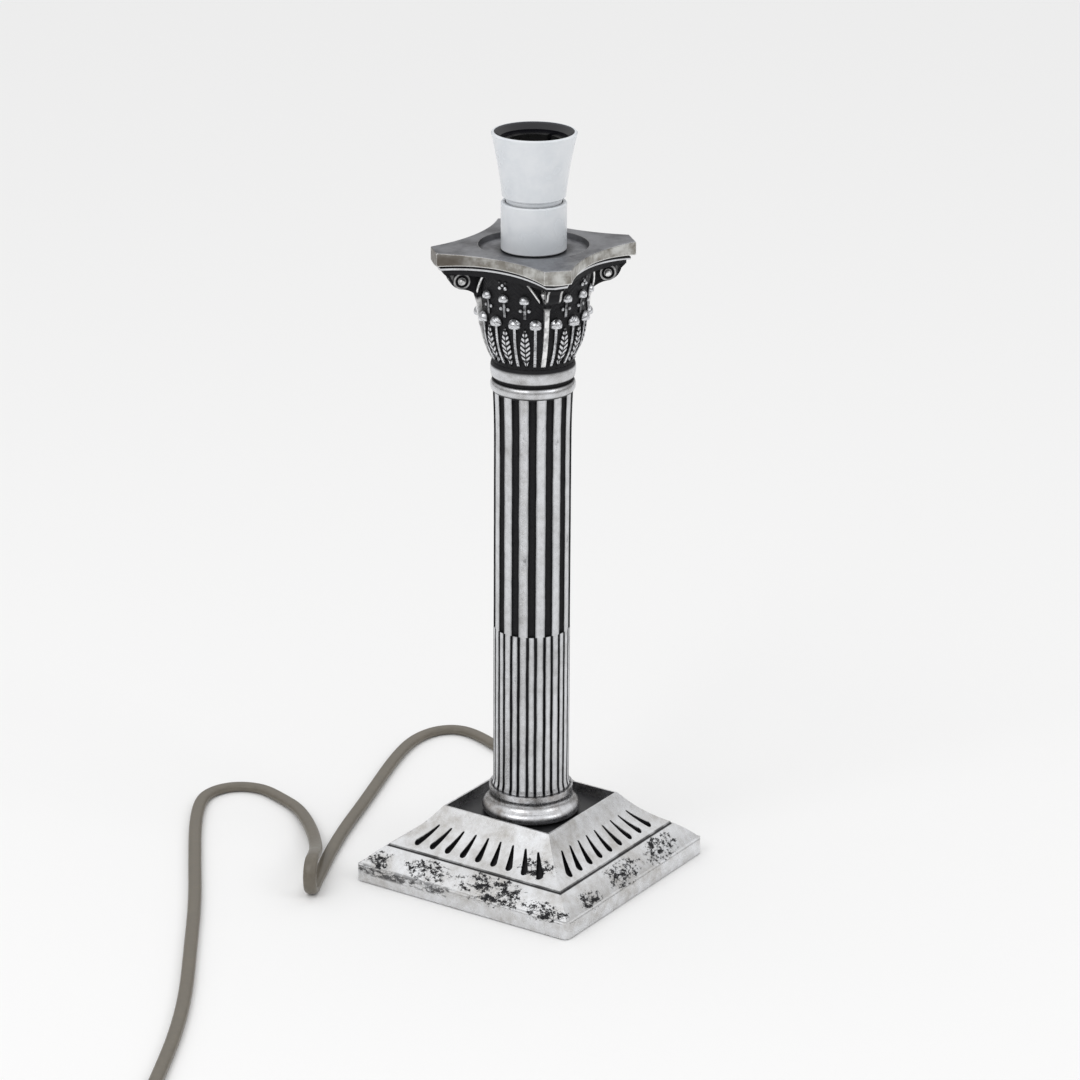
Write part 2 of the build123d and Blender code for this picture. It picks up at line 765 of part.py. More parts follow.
# ---------------------------------------------------------------- lampholder
with BuildPart() as holder_cup:
    add(turned([(nut_hole, dish_floor), (cup_radius - 0.6, dish_floor), (cup_radius, dish_floor + 0.6),
                (cup_radius, cup_top - 0.5), (cup_radius - 0.5, cup_top), (cup_bore, cup_top),
                (cup_bore, cup_floor), (nut_hole, cup_floor)]))
save(holder_cup, "holder_cup")

with BuildPart() as holder_lock_nut:
    with BuildSketch(Plane.XY.offset(cup_floor)):
        RegularPolygon(lock_nut_flats / 2, 6, major_radius=False)
        Circle(nut_hole, mode=Mode.SUBTRACT)
    extrude(amount=lock_nut_top - cup_floor)
save(holder_lock_nut, "holder_lock_nut")

contact_sides = {"left": -1, "right": 1}

with BuildPart() as contact_block:
    with BuildSketch(Plane.XY.offset(cup_floor)):
        Circle(block_radius)
    extrude(amount=block_top - cup_floor)
    with BuildSketch(Plane.XY.offset(cup_floor)):
        Circle(block_cavity)
    extrude(amount=block_cavity_top - cup_floor, mode=Mode.SUBTRACT)
    with BuildSketch(Plane.XY.offset(block_cavity_top)):
        with GridLocations(2 * contact_offset, 0, 2, 1):
            Rectangle(terminal_side, terminal_side)
    extrude(amount=terminal_top - block_cavity_top, mode=Mode.SUBTRACT)
    with BuildSketch(Plane.XY.offset(terminal_top)):
        with GridLocations(2 * contact_offset, 0, 2, 1):
            Circle(plunger_bore)
    extrude(amount=plunger_shoulder - terminal_top, mode=Mode.SUBTRACT)
    with BuildSketch(Plane.XY.offset(plunger_shoulder)):
        with GridLocations(2 * contact_offset, 0, 2, 1):
            Circle(plunger_tip_bore)
    extrude(amount=block_top - plunger_shoulder, mode=Mode.SUBTRACT)
    with BuildSketch(Plane.YZ):
        with Locations((0, terminal_screw_z)):
            Circle(terminal_screw_radius + thread_gap)
    extrude(amount=block_radius + cut_past, both=True, mode=Mode.SUBTRACT)
    with BuildSketch(Plane.YZ):
        with Locations((0, terminal_screw_z)):
            Circle(terminal_screw_radius + thread_gap)
    extrude(amount=contact_offset - terminal_side / 2, both=True)
save(contact_block, "contact_block")

for name, side in contact_sides.items():
    contact_x = side * contact_offset
    with BuildPart() as plunger:
        with BuildSketch(Plane((contact_x, 0, plunger_flange_bottom))):
            Circle(plunger_bore - plunger_gap)
        extrude(amount=plunger_rest - plunger_flange_bottom)
        with BuildSketch(Plane((contact_x, 0, plunger_rest))):
            Circle(plunger_tip_bore - plunger_gap)
        extrude(amount=plunger_top - plunger_rest)
        fillet(plunger.edges().sort_by(Axis.Z)[-1], 0.5)
    save(plunger, f"plunger_{name}")

    with BuildPart() as plunger_spring:
        with BuildSketch(Plane((contact_x, 0, terminal_top))):
            Circle(spring_radius)
            Circle(spring_bore, mode=Mode.SUBTRACT)
        extrude(amount=plunger_flange_bottom - terminal_top)
    save(plunger_spring, f"plunger_spring_{name}")

    with BuildPart() as terminal:
        with BuildSketch(Plane((contact_x, 0, block_cavity_top))):
            Rectangle(terminal_side, terminal_side)
        extrude(amount=terminal_top - block_cavity_top)
    save(terminal, f"terminal_{name}")

    with BuildPart() as terminal_screw:
        with BuildSketch(Plane((contact_x + side * terminal_side / 2, 0, terminal_screw_z), z_dir=(side, 0, 0))):
            Circle(terminal_screw_radius)
        extrude(amount=block_radius - 0.3 - contact_offset - terminal_side / 2)
    save(terminal_screw, f"terminal_screw_{name}")

    with BuildPart() as lead:
        with BuildLine() as lead_line:
            FilletPolyline((side * lead_start, 0, flex_top), (side * lead_start, 0, flex_top + lead_straight),
                           (contact_x, 0, block_cavity_top - lead_straight), (contact_x, 0, block_cavity_top),
                           radius=lead_bend)
        with BuildSketch(Plane((side * lead_start, 0, flex_top))):
            Circle(lead_radius)
        sweep(path=lead_line.wire())
    save(lead, f"lead_{name}")

skirt_neck = cup_bore - skirt_gap
skirt_bore = block_radius + block_gap

with BuildPart() as holder_skirt:
    add(turned([(skirt_bore, neck_bottom), (skirt_neck, neck_bottom), (skirt_neck, skirt_shoulder - 0.4),
                (skirt_lower_radius - 0.4, skirt_shoulder - 0.4), (skirt_lower_radius, skirt_shoulder),
                (skirt_waist, (rim_radius, rim_top - 0.5)), (rim_radius - 0.5, rim_top), (rim_bore, rim_top),
                (bevel_radius, bevel_z), (seat_radius, seat_z), (skirt_bore, seat_z)]))
save(holder_skirt, "holder_skirt")

with BuildPart() as bayonet_barrel:
    add(turned([(barrel_bore, seat_z), (barrel_radius, seat_z), (barrel_radius, barrel_flange_bottom),
                (barrel_flange, barrel_flange_bottom), (barrel_flange, barrel_top), (barrel_bore, barrel_top)]))
    for side in (90, 270):
        with BuildSketch(Plane(origin=(0, 0, 0), x_dir=(math.cos(math.radians(side)), math.sin(math.radians(side)), 0),
                               z_dir=(math.sin(math.radians(side)), -math.cos(math.radians(side)), 0))):
            with Locations(((barrel_bore + barrel_flange) / 2, (slot_bottom + barrel_top) / 2 + cut_past)):
                Rectangle(2 * (barrel_flange - barrel_bore), barrel_top - slot_bottom + 2 * cut_past)
        extrude(amount=slot_width / 2, both=True, mode=Mode.SUBTRACT)
save(bayonet_barrel, "bayonet_barrel")

# ---------------------------------------------------------------- cord on the floor
# The points that the loose cord passes, from the bush along the floor to the coil.
cord_route = [
    (exit_x, exit_y, exit_z), (-20.0, 67.5, exit_z), (-26.5, 78.5, 3.4), (-41.0, 85.0, floor_z),
    (-60.0, 90.5, floor_z), (-82.0, 97.5, floor_z), (-98.5, 103.3, floor_z), (-107.4, 101.7, floor_z),
    (-114.1, 95.7, floor_z), (-116.4, 87.0, floor_z), (-113.0, 73.5, floor_z), (-105.5, 50.0, floor_z),
    (-98.3, 24.0, floor_z), (-91.5, -3.0, floor_z), (-83.2, -28.0, floor_z), (-75.5, -48.0, floor_z),
    (-70.8, -58.3, floor_z), (-66.0, -69.0, floor_z),
    # the sharp fold, where the cord turns back over itself
    (-61.2, -78.6, floor_z), (-59.5, -82.2, 7.2), (-59.8, -81.7, 13.0), (-61.9, -77.5, 16.5),
    (-66.4, -69.2, 14.8), (-78.3, -51.8, 9.0), (-98.3, -28.6, 4.8), (-118.4, -11.0, 3.1),
    (-133.8, -5.0, floor_z), (-145.6, -1.6, floor_z), (-155.4, -4.3, floor_z), (-161.5, -10.6, floor_z),
    (-163.6, -19.3, floor_z), (-160.8, -29.5, floor_z), (-147.5, -50.0, floor_z), (-122.5, -82.0, floor_z),
    (-96.2, -115.2, floor_z), (-70.4, -151.1, floor_z), (-45.8, -185.2, floor_z), (-26.9, -215.5, floor_z),
    (-9.3, -249.0, floor_z), (7.9, -283.5, coil_floor + floor_z), (23.4, -317.5, coil_floor + floor_z),
]


def corner_radii(route):
    """The largest arc that each corner's runs allow: 0.45 of the shorter run."""
    points = [Vector(*point) for point in route]
    radii = []
    for before, here, after in zip(points, points[1:], points[2:]):
        half_turn_angle = math.radians((here - before).get_angle(after - here)) / 2
        shorter = min((here - before).length, (after - here).length)
        radii.append(0.45 * shorter / math.tan(half_turn_angle))
    return radii


def tube(route, radii, width):
    """Round cord along straight runs joined by tangent arcs."""
    with BuildPart() as one:
        with BuildLine() as line:
            FilletPolyline(*route, radius=radii)
        heading = Vector(*route[1]) - Vector(*route[0])
        with BuildSketch(Plane(origin=route[0], z_dir=heading)):
            Circle(width / 2)
        sweep(path=line.wire())
    report_volume(one.part, line.wire(), width)
    return one.part


def report_volume(piece, wire, width):
    expected = math.pi * (width / 2) ** 2 * wire.length
    print(f"cord length {wire.length:.1f} volume {piece.volume:.0f}, section times length {expected:.0f}")


route_radii = corner_radii(cord_route)
print("cord radii", [round(radius, 1) for radius in route_radii])
with BuildPart() as cord_lead:
    add(tube(cord_route, route_radii, cord_width))
save(cord_lead, "cord_lead")

# ---------------------------------------------------------------- coil
coil_start = Vector(*cord_route[-1])
coil_heading = (coil_start - Vector(*cord_route[-2])).normalized()
coil_side = Vector(coil_heading.Y, -coil_heading.X, 0)  # from the first turn towards the coil's middle
coil_middle = coil_start + coil_heading * cord_width + coil_side * coil_first_radius
half_turns = 10
climb = 4  # the half turn in which the spiral turns outwards, one layer up

coil_radii = [coil_first_radius]
for index in range(half_turns):
    inwards = (index < climb) - (index > climb)
    spread = coil_turn_pitch / 2 + (coil_climb_step if abs(index - climb) == 1 else 0)
    coil_radii.append(coil_radii[-1] - inwards * spread)
coil_nodes = []
for index, radius in enumerate(coil_radii):
    side = -1 if index % 2 == 0 else 1
    layer = 0 if index <= climb else coil_layer_pitch
    coil_nodes.append(coil_middle + coil_side * radius * side + Vector(0, 0, layer))
coil_end = coil_nodes[-1] + coil_heading * cord_width

with BuildPart() as cord_coil:
    with BuildLine() as coil_line:
        Line(coil_start, coil_nodes[0])
        for index, (near, far) in enumerate(zip(coil_nodes, coil_nodes[1:])):
            heading = coil_heading * (1 if index % 2 == 0 else -1)
            middle = (near + far) / 2 + heading * ((far - near).length / 2)
            TangentArc(near, middle, tangent=heading)
            TangentArc(middle, far, tangent=far - near)
        Line(coil_nodes[-1], coil_end)
    with BuildSketch(Plane(origin=coil_start, z_dir=coil_heading)):
        Circle(cord_width / 2)
    sweep(path=coil_line.wire())
save(cord_coil, "cord_coil")
report_volume(cord_coil.part, coil_line.wire(), cord_width)


def least_gap(wire, width, step, apart):
    """Least distance between the surfaces of stretches further apart along the cord than the given length."""
    count = int(wire.length / step)
    points = [wire.position_at(index / count) for index in range(count + 1)]
    skip = int(apart / step)
    gaps = [(points[i] - points[j]).length for i in range(count + 1) for j in range(i + skip, count + 1)]
    return min(gaps) - width


print(f"coil least gap {least_gap(coil_line.wire(), cord_width, 2.0, 40.0):.2f}")

# A strip round all the turns, opposite the side where the cord comes and goes.
tie_sagitta = coil_radii[climb] - math.sqrt(coil_radii[climb] ** 2 - (tie_width / 2) ** 2)
tie_inner = coil_radii[climb] - tie_sagitta - cord_width / 2 - 2 * tie_gap
tie_outer = max(coil_radii[1::2]) + cord_width / 2 + tie_gap
tie_bottom = coil_floor + floor_z - cord_width / 2 - tie_gap
tie_top = coil_floor + floor_z + coil_layer_pitch + cord_width / 2 + tie_gap
tie_plane = Plane(origin=(coil_middle.X, coil_middle.Y, 0), x_dir=coil_side, z_dir=-coil_heading)
tie_centre = ((tie_inner + tie_outer) / 2, (tie_bottom + tie_top) / 2)
with BuildPart() as coil_tie:
    with BuildSketch(tie_plane):
        with Locations(tie_centre):
            RectangleRounded(tie_outer - tie_inner + 2 * tie_thickness, tie_top - tie_bottom + 2 * tie_thickness, 2.4)
            RectangleRounded(tie_outer - tie_inner, tie_top - tie_bottom, 1.6, mode=Mode.SUBTRACT)
    extrude(amount=tie_width / 2, both=True)
save(coil_tie, "coil_tie")

# ---------------------------------------------------------------- tail and plug
relief_start = Vector(coil_end.X, coil_end.Y, 0) + coil_heading * 62 + coil_side * 10 + Vector(0, 0, plug_entry_z)
plug_heading = (coil_heading * 8 + coil_side * 3).normalized()
tail_route = [coil_end, coil_end + coil_heading * 8, coil_end + coil_heading * 20 + coil_side * 1.5 - Vector(0, 0, 5)]
tail_route += [relief_start - plug_heading * reach - Vector(0, 0, plug_entry_z - height)
               for reach, height in ((30, floor_z), (17, 4.4), (7, plug_entry_z))]
tail_route += [relief_start]
tail_route = [(point.X, point.Y, point.Z) for point in tail_route]
print("tail radii", [round(radius, 1) for radius in corner_radii(tail_route)])
with BuildPart() as cord_tail:
    add(tube(tail_route, corner_radii(tail_route), cord_width))
save(cord_tail, "cord_tail")

plug_entry = relief_start + plug_heading * relief_length
plug_origin = Plane(origin=(plug_entry.X, plug_entry.Y, 0), x_dir=plug_heading, z_dir=(0, 0, 1))

with BuildPart() as plug_relief:
    with BuildSketch(Plane(origin=relief_start, z_dir=plug_heading)):
        Circle(relief_tip)
    with BuildSketch(Plane(origin=plug_entry, z_dir=plug_heading)):
        Circle(relief_root)
    loft(ruled=True)
save(plug_relief, "plug_relief")


def on_plug(x, y, z):
    """Plane parallel to the plug's back, at a place given from the cord's entry."""
    return Plane(origin=plug_origin.from_local_coords(Vector(x, y, z)), x_dir=plug_heading, z_dir=(0, 0, 1))


pins = {
    "line": (live_pin_x, -live_pin_spacing / 2, live_pin_size, live_pin_length),
    "neutral": (live_pin_x, live_pin_spacing / 2, live_pin_size, live_pin_length),
    "earth": (earth_pin_x, 0, earth_pin_size, earth_pin_length),
}

with BuildPart() as plug_body:
    with BuildSketch(plug_origin):
        with BuildLine():
            outline([(0, -plug_width / 2 + 8), (6, -plug_width / 2), (plug_shoulder, -plug_width / 2),
                     ((plug_length - 8, -14.0), (plug_length, 0)), ((plug_length - 8, 14.0), (plug_shoulder, plug_width / 2)),
                     (6, plug_width / 2), (0, plug_width / 2 - 8)])
        make_face()
    extrude(amount=plug_height)
    fillet(plug_body.edges().group_by(Axis.Z)[0] + plug_body.edges().group_by(Axis.Z)[-1], plug_round)
    for pin_x, pin_y, size, length in pins.values():
        with BuildSketch(on_plug(pin_x, pin_y, plug_height - pin_root)):
            Rectangle(*size)
        extrude(amount=pin_root, mode=Mode.SUBTRACT)
    with BuildSketch(on_plug(fuse_x, 0, plug_height - fuse_depth)):
        Rectangle(fuse_size[1], fuse_size[0])
    extrude(amount=fuse_depth, mode=Mode.SUBTRACT)
save(plug_body, "plug_body")

for name, (pin_x, pin_y, size, length) in pins.items():
    with BuildPart() as plug_pin:
        with BuildSketch(on_plug(pin_x, pin_y, plug_height - pin_root)):
            Rectangle(*size)
        extrude(amount=pin_root + length)
        chamfer(plug_pin.faces().sort_by(Axis.Z)[-1].edges(), 0.8)
    save(plug_pin, f"plug_{name}_pin")

with BuildPart() as plug_fuse_carrier:
    with BuildSketch(on_plug(fuse_x, 0, plug_height - fuse_depth)):
        Rectangle(fuse_size[1], fuse_size[0])
    extrude(amount=fuse_depth + fuse_lift)
save(plug_fuse_carrier, "plug_fuse_carrier")
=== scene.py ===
import bpy
import math
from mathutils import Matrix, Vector


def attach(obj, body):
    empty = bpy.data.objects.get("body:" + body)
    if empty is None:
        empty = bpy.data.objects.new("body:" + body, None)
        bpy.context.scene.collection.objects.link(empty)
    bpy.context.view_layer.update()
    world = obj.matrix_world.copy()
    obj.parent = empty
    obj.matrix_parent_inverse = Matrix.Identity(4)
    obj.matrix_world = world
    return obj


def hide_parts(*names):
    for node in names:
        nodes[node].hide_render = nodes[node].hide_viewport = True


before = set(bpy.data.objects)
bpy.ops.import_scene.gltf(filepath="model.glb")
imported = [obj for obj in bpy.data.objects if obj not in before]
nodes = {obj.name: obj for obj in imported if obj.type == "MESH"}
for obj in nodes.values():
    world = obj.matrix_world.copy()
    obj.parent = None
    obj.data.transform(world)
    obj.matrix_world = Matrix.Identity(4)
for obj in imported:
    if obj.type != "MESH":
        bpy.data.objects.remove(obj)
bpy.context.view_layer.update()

# ---------------------------------------------------------------- camera
CAMERA_AZIMUTH = math.radians(33.35)  # from the -Y axis towards +X
CAMERA_ELEVATION = math.radians(19.87)
CAMERA_DISTANCE = 1.6767
CAMERA_AIM = Vector((0.0028, 0.0018, 0.1524))
CAMERA_ROLL = 0.0059
CAMERA_LENS = 131.1

back = Vector((math.sin(CAMERA_AZIMUTH) * math.cos(CAMERA_ELEVATION),
               -math.cos(CAMERA_AZIMUTH) * math.cos(CAMERA_ELEVATION),
               math.sin(CAMERA_ELEVATION)))
camera = bpy.data.objects.new("camera", bpy.data.cameras.new("camera"))
camera.data.lens = CAMERA_LENS
camera.data.sensor_width = 36.0
camera.data.clip_start = 0.05
camera.data.clip_end = 30.0
camera.location = CAMERA_AIM + back * CAMERA_DISTANCE
camera.rotation_euler = back.to_track_quat("Z", "Y").to_euler()
camera.rotation_euler.rotate_axis("Z", CAMERA_ROLL)
bpy.context.scene.collection.objects.link(camera)
bpy.context.scene.camera = camera
bpy.context.scene.view_settings.view_transform = "Standard"


# ---------------------------------------------------------------- node helper
WHOLE_STEPS = 100  # keeps what FRACT is given above zero


class Shader:
    """A material's node tree, with short calls to add and join nodes."""

    def __init__(self, name):
        self.material = bpy.data.materials.new(name)
        self.material.use_nodes = True
        self.tree = self.material.node_tree
        self.tree.nodes.clear()
        self.output = self.tree.nodes.new("ShaderNodeOutputMaterial")

    def node(self, kind, settings=None, **inputs):
        made = self.tree.nodes.new("ShaderNode" + kind)
        for name, value in (settings or {}).items():
            setattr(made, name, value)
        for name, value in inputs.items():
            self.put(made.inputs[name.replace("_", " ")], value)
        return made

    def put(self, socket, value):
        if isinstance(value, bpy.types.NodeSocket):
            self.tree.links.new(value, socket)
        elif isinstance(value, tuple) and socket.type == "RGBA":
            socket.default_value = (*value, 1.0)[:4]
        else:
            socket.default_value = value

    def math(self, operation, first, second=0.0, third=0.0):
        made = self.node("Math", {"operation": operation})
        for socket, value in zip(made.inputs, (first, second, third)):
            self.put(socket, value)
        return made.outputs[0]

    def spread(self, value, low, high, out_low=0.0, out_high=1.0, smooth=True):
        kind = "SMOOTHSTEP" if smooth else "LINEAR"
        made = self.node("MapRange", {"interpolation_type": kind, "clamp": True})
        for name, number in (("Value", value), ("From Min", low), ("From Max", high), ("To Min", out_low),
                             ("To Max", out_high)):
            self.put(made.inputs[name], number)
        return made.outputs[0]

    def mix(self, factor, first, second):
        made = self.node("Mix", {"data_type": "RGBA"})
        self.put(made.inputs[0], factor)
        self.put(made.inputs[6], first)
        self.put(made.inputs[7], second)
        return made.outputs[2]

    def position(self):
        return self.node("TexCoord").outputs["Object"]

    def axes(self):
        split = self.node("SeparateXYZ")
        self.put(split.inputs[0], self.position())
        return split.outputs

    def radius(self):
        x, y, _ = self.axes()
        return self.math("SQRT", self.math("ADD", self.math("MULTIPLY", x, x), self.math("MULTIPLY", y, y)))

    def noise(self, scale, detail=4.0, roughness=0.55, stretch=(1, 1, 1)):
        mapping = self.node("Mapping", Vector=self.position(), Scale=stretch)
        return self.node("TexNoise", Vector=mapping.outputs[0], Scale=scale, Detail=detail,
                         Roughness=roughness).outputs["Fac"]

    def angle(self):
        x, y, _ = self.axes()
        return self.math("ARCTAN2", y, x)

    def around(self, start, step, shift=0.0):
        """Place in a pattern that repeats with each step round the axis, -0.5 to 0.5, its shift in steps."""
        turn = self.math("DIVIDE", self.math("SUBTRACT", self.angle(), start), step)
        return self.math("SUBTRACT", self.math("FRACT", self.math("ADD", turn, WHOLE_STEPS + shift)), 0.5)

    def normal(self):
        split = self.node("SeparateXYZ")
        self.put(split.inputs[0], self.node("NewGeometry").outputs["Normal"])
        return split.outputs

    def blob(self, centre, size):
        """1 at a place, fading to 0 at the given half sizes round it."""
        away = self.node("VectorMath", {"operation": "SUBTRACT"})
        self.put(away.inputs[0], self.position())
        self.put(away.inputs[1], centre)
        scaled = self.node("VectorMath", {"operation": "DIVIDE"})
        self.put(scaled.inputs[0], away.outputs[0])
        self.put(scaled.inputs[1], size)
        length = self.node("VectorMath", {"operation": "LENGTH"})
        self.put(length.inputs[0], scaled.outputs[0])
        return self.spread(length.outputs["Value"], 1.0, 0.35)

    def largest(self, *values):
        result = values[0]
        for value in values[1:]:
            result = self.math("MAXIMUM", result, value)
        return result

    def edges(self, distance):
        """1 on sharp outer edges, 0 on flat surfaces."""
        settings = {"samples": 6, "inside": True, "only_local": True}
        made = self.node("AmbientOcclusion", settings, Distance=distance)
        return self.math("SUBTRACT", 1.0, made.outputs["AO"])

    def hollow(self, distance):
        """1 in a recess about as deep as the distance, 0 on open surfaces."""
        made = self.node("AmbientOcclusion", {"samples": 8, "only_local": False}, Distance=distance)
        return self.math("SUBTRACT", 1.0, made.outputs["AO"])

    def finish(self, color, metallic, roughness, bump=None, bump_height=0.0002):
        surface = self.node("BsdfPrincipled", Base_Color=color, Metallic=metallic, Roughness=roughness)
        if bump is not None:
            relief = self.node("Bump", Height=bump, Distance=bump_height, Strength=1.0)
            self.put(surface.inputs["Normal"], relief.outputs[0])
        self.tree.links.new(surface.outputs[0], self.output.inputs[0])
        return self.material


def wear(material, *names):
    """Gives CAD nodes their material."""
    for name in names:
        piece = nodes[name]
        piece.data.materials.clear()
        piece.data.materials.append(material)


# ---------------------------------------------------------------- floor, light
# Plain and pale, one neutral tone all over.
FLOOR_TONE = (0.92, 0.92, 0.92)

HORIZON = (0.23, 0.225, 0.22)
ZENITH = (1.0, 1.0, 1.0)
SKY_STRENGTH = 1.0


def make_floor():
    mesh = bpy.data.meshes.new("floor")
    reach = 12.0
    mesh.from_pydata([(-reach, -reach, 0), (reach, -reach, 0), (reach, reach, 0), (-reach, reach, 0)], [],
                     [(0, 1, 2, 3)])
    floor = bpy.data.objects.new("floor", mesh)
    bpy.context.scene.collection.objects.link(floor)
    shader = Shader("floor")
    shade = shader.node("BsdfDiffuse", Color=FLOOR_TONE)
    shader.tree.links.new(shade.outputs[0], shader.output.inputs[0])
    mesh.materials.append(shader.material)


def make_world():
    """White overhead, grey towards the horizon, which the metal shows as its darker side."""
    world = bpy.data.worlds.new("world")
    bpy.context.scene.world = world
    world.use_nodes = True
    tree = world.node_tree
    coordinates = tree.nodes.new("ShaderNodeTexCoord")
    split = tree.nodes.new("ShaderNodeSeparateXYZ")
    ramp = tree.nodes.new("ShaderNodeValToRGB")
    ramp.color_ramp.elements[0].position = 0.05
    ramp.color_ramp.elements[0].color = (*HORIZON, 1.0)
    ramp.color_ramp.elements[1].position = 0.62
    ramp.color_ramp.elements[1].color = (*ZENITH, 1.0)
    tree.links.new(coordinates.outputs["Generated"], split.inputs[0])
    tree.links.new(split.outputs[2], ramp.inputs[0])
    tree.links.new(ramp.outputs[0], tree.nodes["Background"].inputs[0])
    tree.nodes["Background"].inputs[1].default_value = SKY_STRENGTH


def soft_lamp(name, azimuth, elevation, distance, size, power):
    """Square area light facing the lamp, its azimuth counted from the camera's own, towards its right."""
    turn = CAMERA_AZIMUTH + math.radians(azimuth)
    rise = math.radians(elevation)
    toward = Vector((math.sin(turn) * math.cos(rise), -math.cos(turn) * math.cos(rise), math.sin(rise)))
    light = bpy.data.lights.new(name, "AREA")
    light.energy = power
    light.size = size
    holder = bpy.data.objects.new(name, light)
    holder.location = CAMERA_AIM + toward * distance
    holder.rotation_euler = toward.to_track_quat("Z", "Y").to_euler()
    bpy.context.scene.collection.objects.link(holder)


make_floor()
make_world()
soft_lamp("key", -38, 42, 1.7, 0.9, 5.0)
soft_lamp("fill", 62, 34, 1.8, 0.7, 2.5)

# ---------------------------------------------------------------- cord
CORD_WIDTH = 0.0058
CORD_HEIGHT = 0.0038
EXIT = (-0.020, 0.0566, 0.0049)
LYING = CORD_HEIGHT / 2
COIL_LAYER = 0.0064
COIL_PITCH = 0.0064
COIL_FIRST_RADIUS = 0.036
COIL_CLIMB_STEP = 0.001
COIL_LOW = 0.0039
HALF_TURNS = 10
CLIMB = 4
POINTS_PER_HALF_TURN = 8
PLUG_ENTRY_Z = 0.0085
RELIEF_AHEAD = 0.062
RELIEF_ASIDE = 0.010
LEAST_STEP = 0.0002  # points nearer than this to the last one are dropped from the line
TURNING_LENGTH = 0.06  # over which the flex turns on to its edge where the coil begins, and back after it
LEVEL_ENOUGH = 0.35  # below this the line is too steep to say which way is level
SECTION_POWER = 0.8  # under 1, the flex's section is fuller than an oval

ROUTE = [
    EXIT, (-0.0200, 0.0675, 0.0047), (-0.0265, 0.0785, 0.0026), (-0.0410, 0.0850, LYING),
    (-0.0600, 0.0905, LYING), (-0.0820, 0.0985, LYING), (-0.1010, 0.1065, LYING),
    (-0.1120, 0.1072, LYING), (-0.1190, 0.1015, LYING), (-0.1222, 0.0918, LYING),
    (-0.1216, 0.0790, LYING), (-0.1160, 0.0590, LYING), (-0.1080, 0.0370, LYING),
    (-0.0985, 0.0110, LYING), (-0.0885, -0.0180, LYING), (-0.0785, -0.0420, LYING),
    (-0.0708, -0.0583, LYING), (-0.0660, -0.0690, LYING),
    # the sharp fold
    (-0.0612, -0.0786, LYING), (-0.0595, -0.0822, 0.0066), (-0.0598, -0.0817, 0.0130),
    (-0.0619, -0.0775, 0.0165), (-0.0664, -0.0692, 0.0148), (-0.0783, -0.0518, 0.0086),
    (-0.0983, -0.0286, 0.0040), (-0.1184, -0.0110, 0.0022), (-0.1338, -0.0050, LYING),
    (-0.1456, -0.0016, LYING), (-0.1554, -0.0043, LYING), (-0.1615, -0.0106, LYING),
    (-0.1636, -0.0193, LYING), (-0.1608, -0.0295, LYING), (-0.1475, -0.0500, LYING),
    (-0.1225, -0.0820, LYING), (-0.0962, -0.1152, LYING), (-0.0704, -0.1511, LYING),
    (-0.0458, -0.1852, LYING), (-0.0269, -0.2155, LYING), (-0.0093, -0.2490, LYING),
    (0.0079, -0.2835, 0.0027), (0.0234, -0.3175, COIL_LOW),
]


def coil_frame():
    """Which way the cord runs where the coil starts, the side that its middle lies on, and the middle."""
    start = Vector(ROUTE[-1])
    heading = (start - Vector(ROUTE[-2])).to_2d().to_3d().normalized()
    side = Vector((heading.y, -heading.x, 0))
    middle = start + heading * CORD_WIDTH + side * COIL_FIRST_RADIUS
    return heading, side, middle


def coil_radii():
    radii = [COIL_FIRST_RADIUS]
    for index in range(HALF_TURNS):
        inwards = (index < CLIMB) - (index > CLIMB)
        spread = COIL_PITCH / 2 + (COIL_CLIMB_STEP if abs(index - CLIMB) == 1 else 0)
        radii.append(radii[-1] - inwards * spread)
    return radii


def coil_points():
    """Control points of the turns, a little outside the line that they draw."""
    heading, side, middle = coil_frame()
    radii = coil_radii()
    step = math.pi / POINTS_PER_HALF_TURN
    outside = 1 / (0.75 + 0.25 * math.cos(step))
    points = []
    for index in range(HALF_TURNS * POINTS_PER_HALF_TURN):
        turn, part = divmod(index + 0.5, POINTS_PER_HALF_TURN)
        turn, part = int(turn), part / POINTS_PER_HALF_TURN
        radius = (radii[turn] + (radii[turn + 1] - radii[turn]) * part) * outside
        angle = math.pi * (index + 0.5) / POINTS_PER_HALF_TURN
        ease = part * part * (3 - 2 * part)
        layer = 0 if turn < CLIMB else 1 if turn > CLIMB else ease
        points.append(middle - side * radius * math.cos(angle) + heading * radius * math.sin(angle)
                      + Vector((0, 0, COIL_LAYER * layer)))
    return points, middle - side * radii[-1] + Vector((0, 0, COIL_LAYER))


def tail_points(coil_out):
    """From the coil to the plug's relief, and the direction in which the cord meets it."""
    heading, side, _ = coil_frame()
    end = coil_out + heading * CORD_WIDTH
    up = Vector((0, 0, 1))
    relief = Vector((end.x, end.y, PLUG_ENTRY_Z)) + heading * RELIEF_AHEAD + side * RELIEF_ASIDE
    toward = (heading * 8 + side * 3).normalized()
    points = [end, end + heading * 0.008, end + heading * 0.020 + side * 0.0015 - up * 0.005]
    points += [relief - toward * reach - up * (PLUG_ENTRY_Z - height)
               for reach, height in ((0.030, 0.0024), (0.017, 0.0040), (0.007, PLUG_ENTRY_Z))]
    return points + [relief]


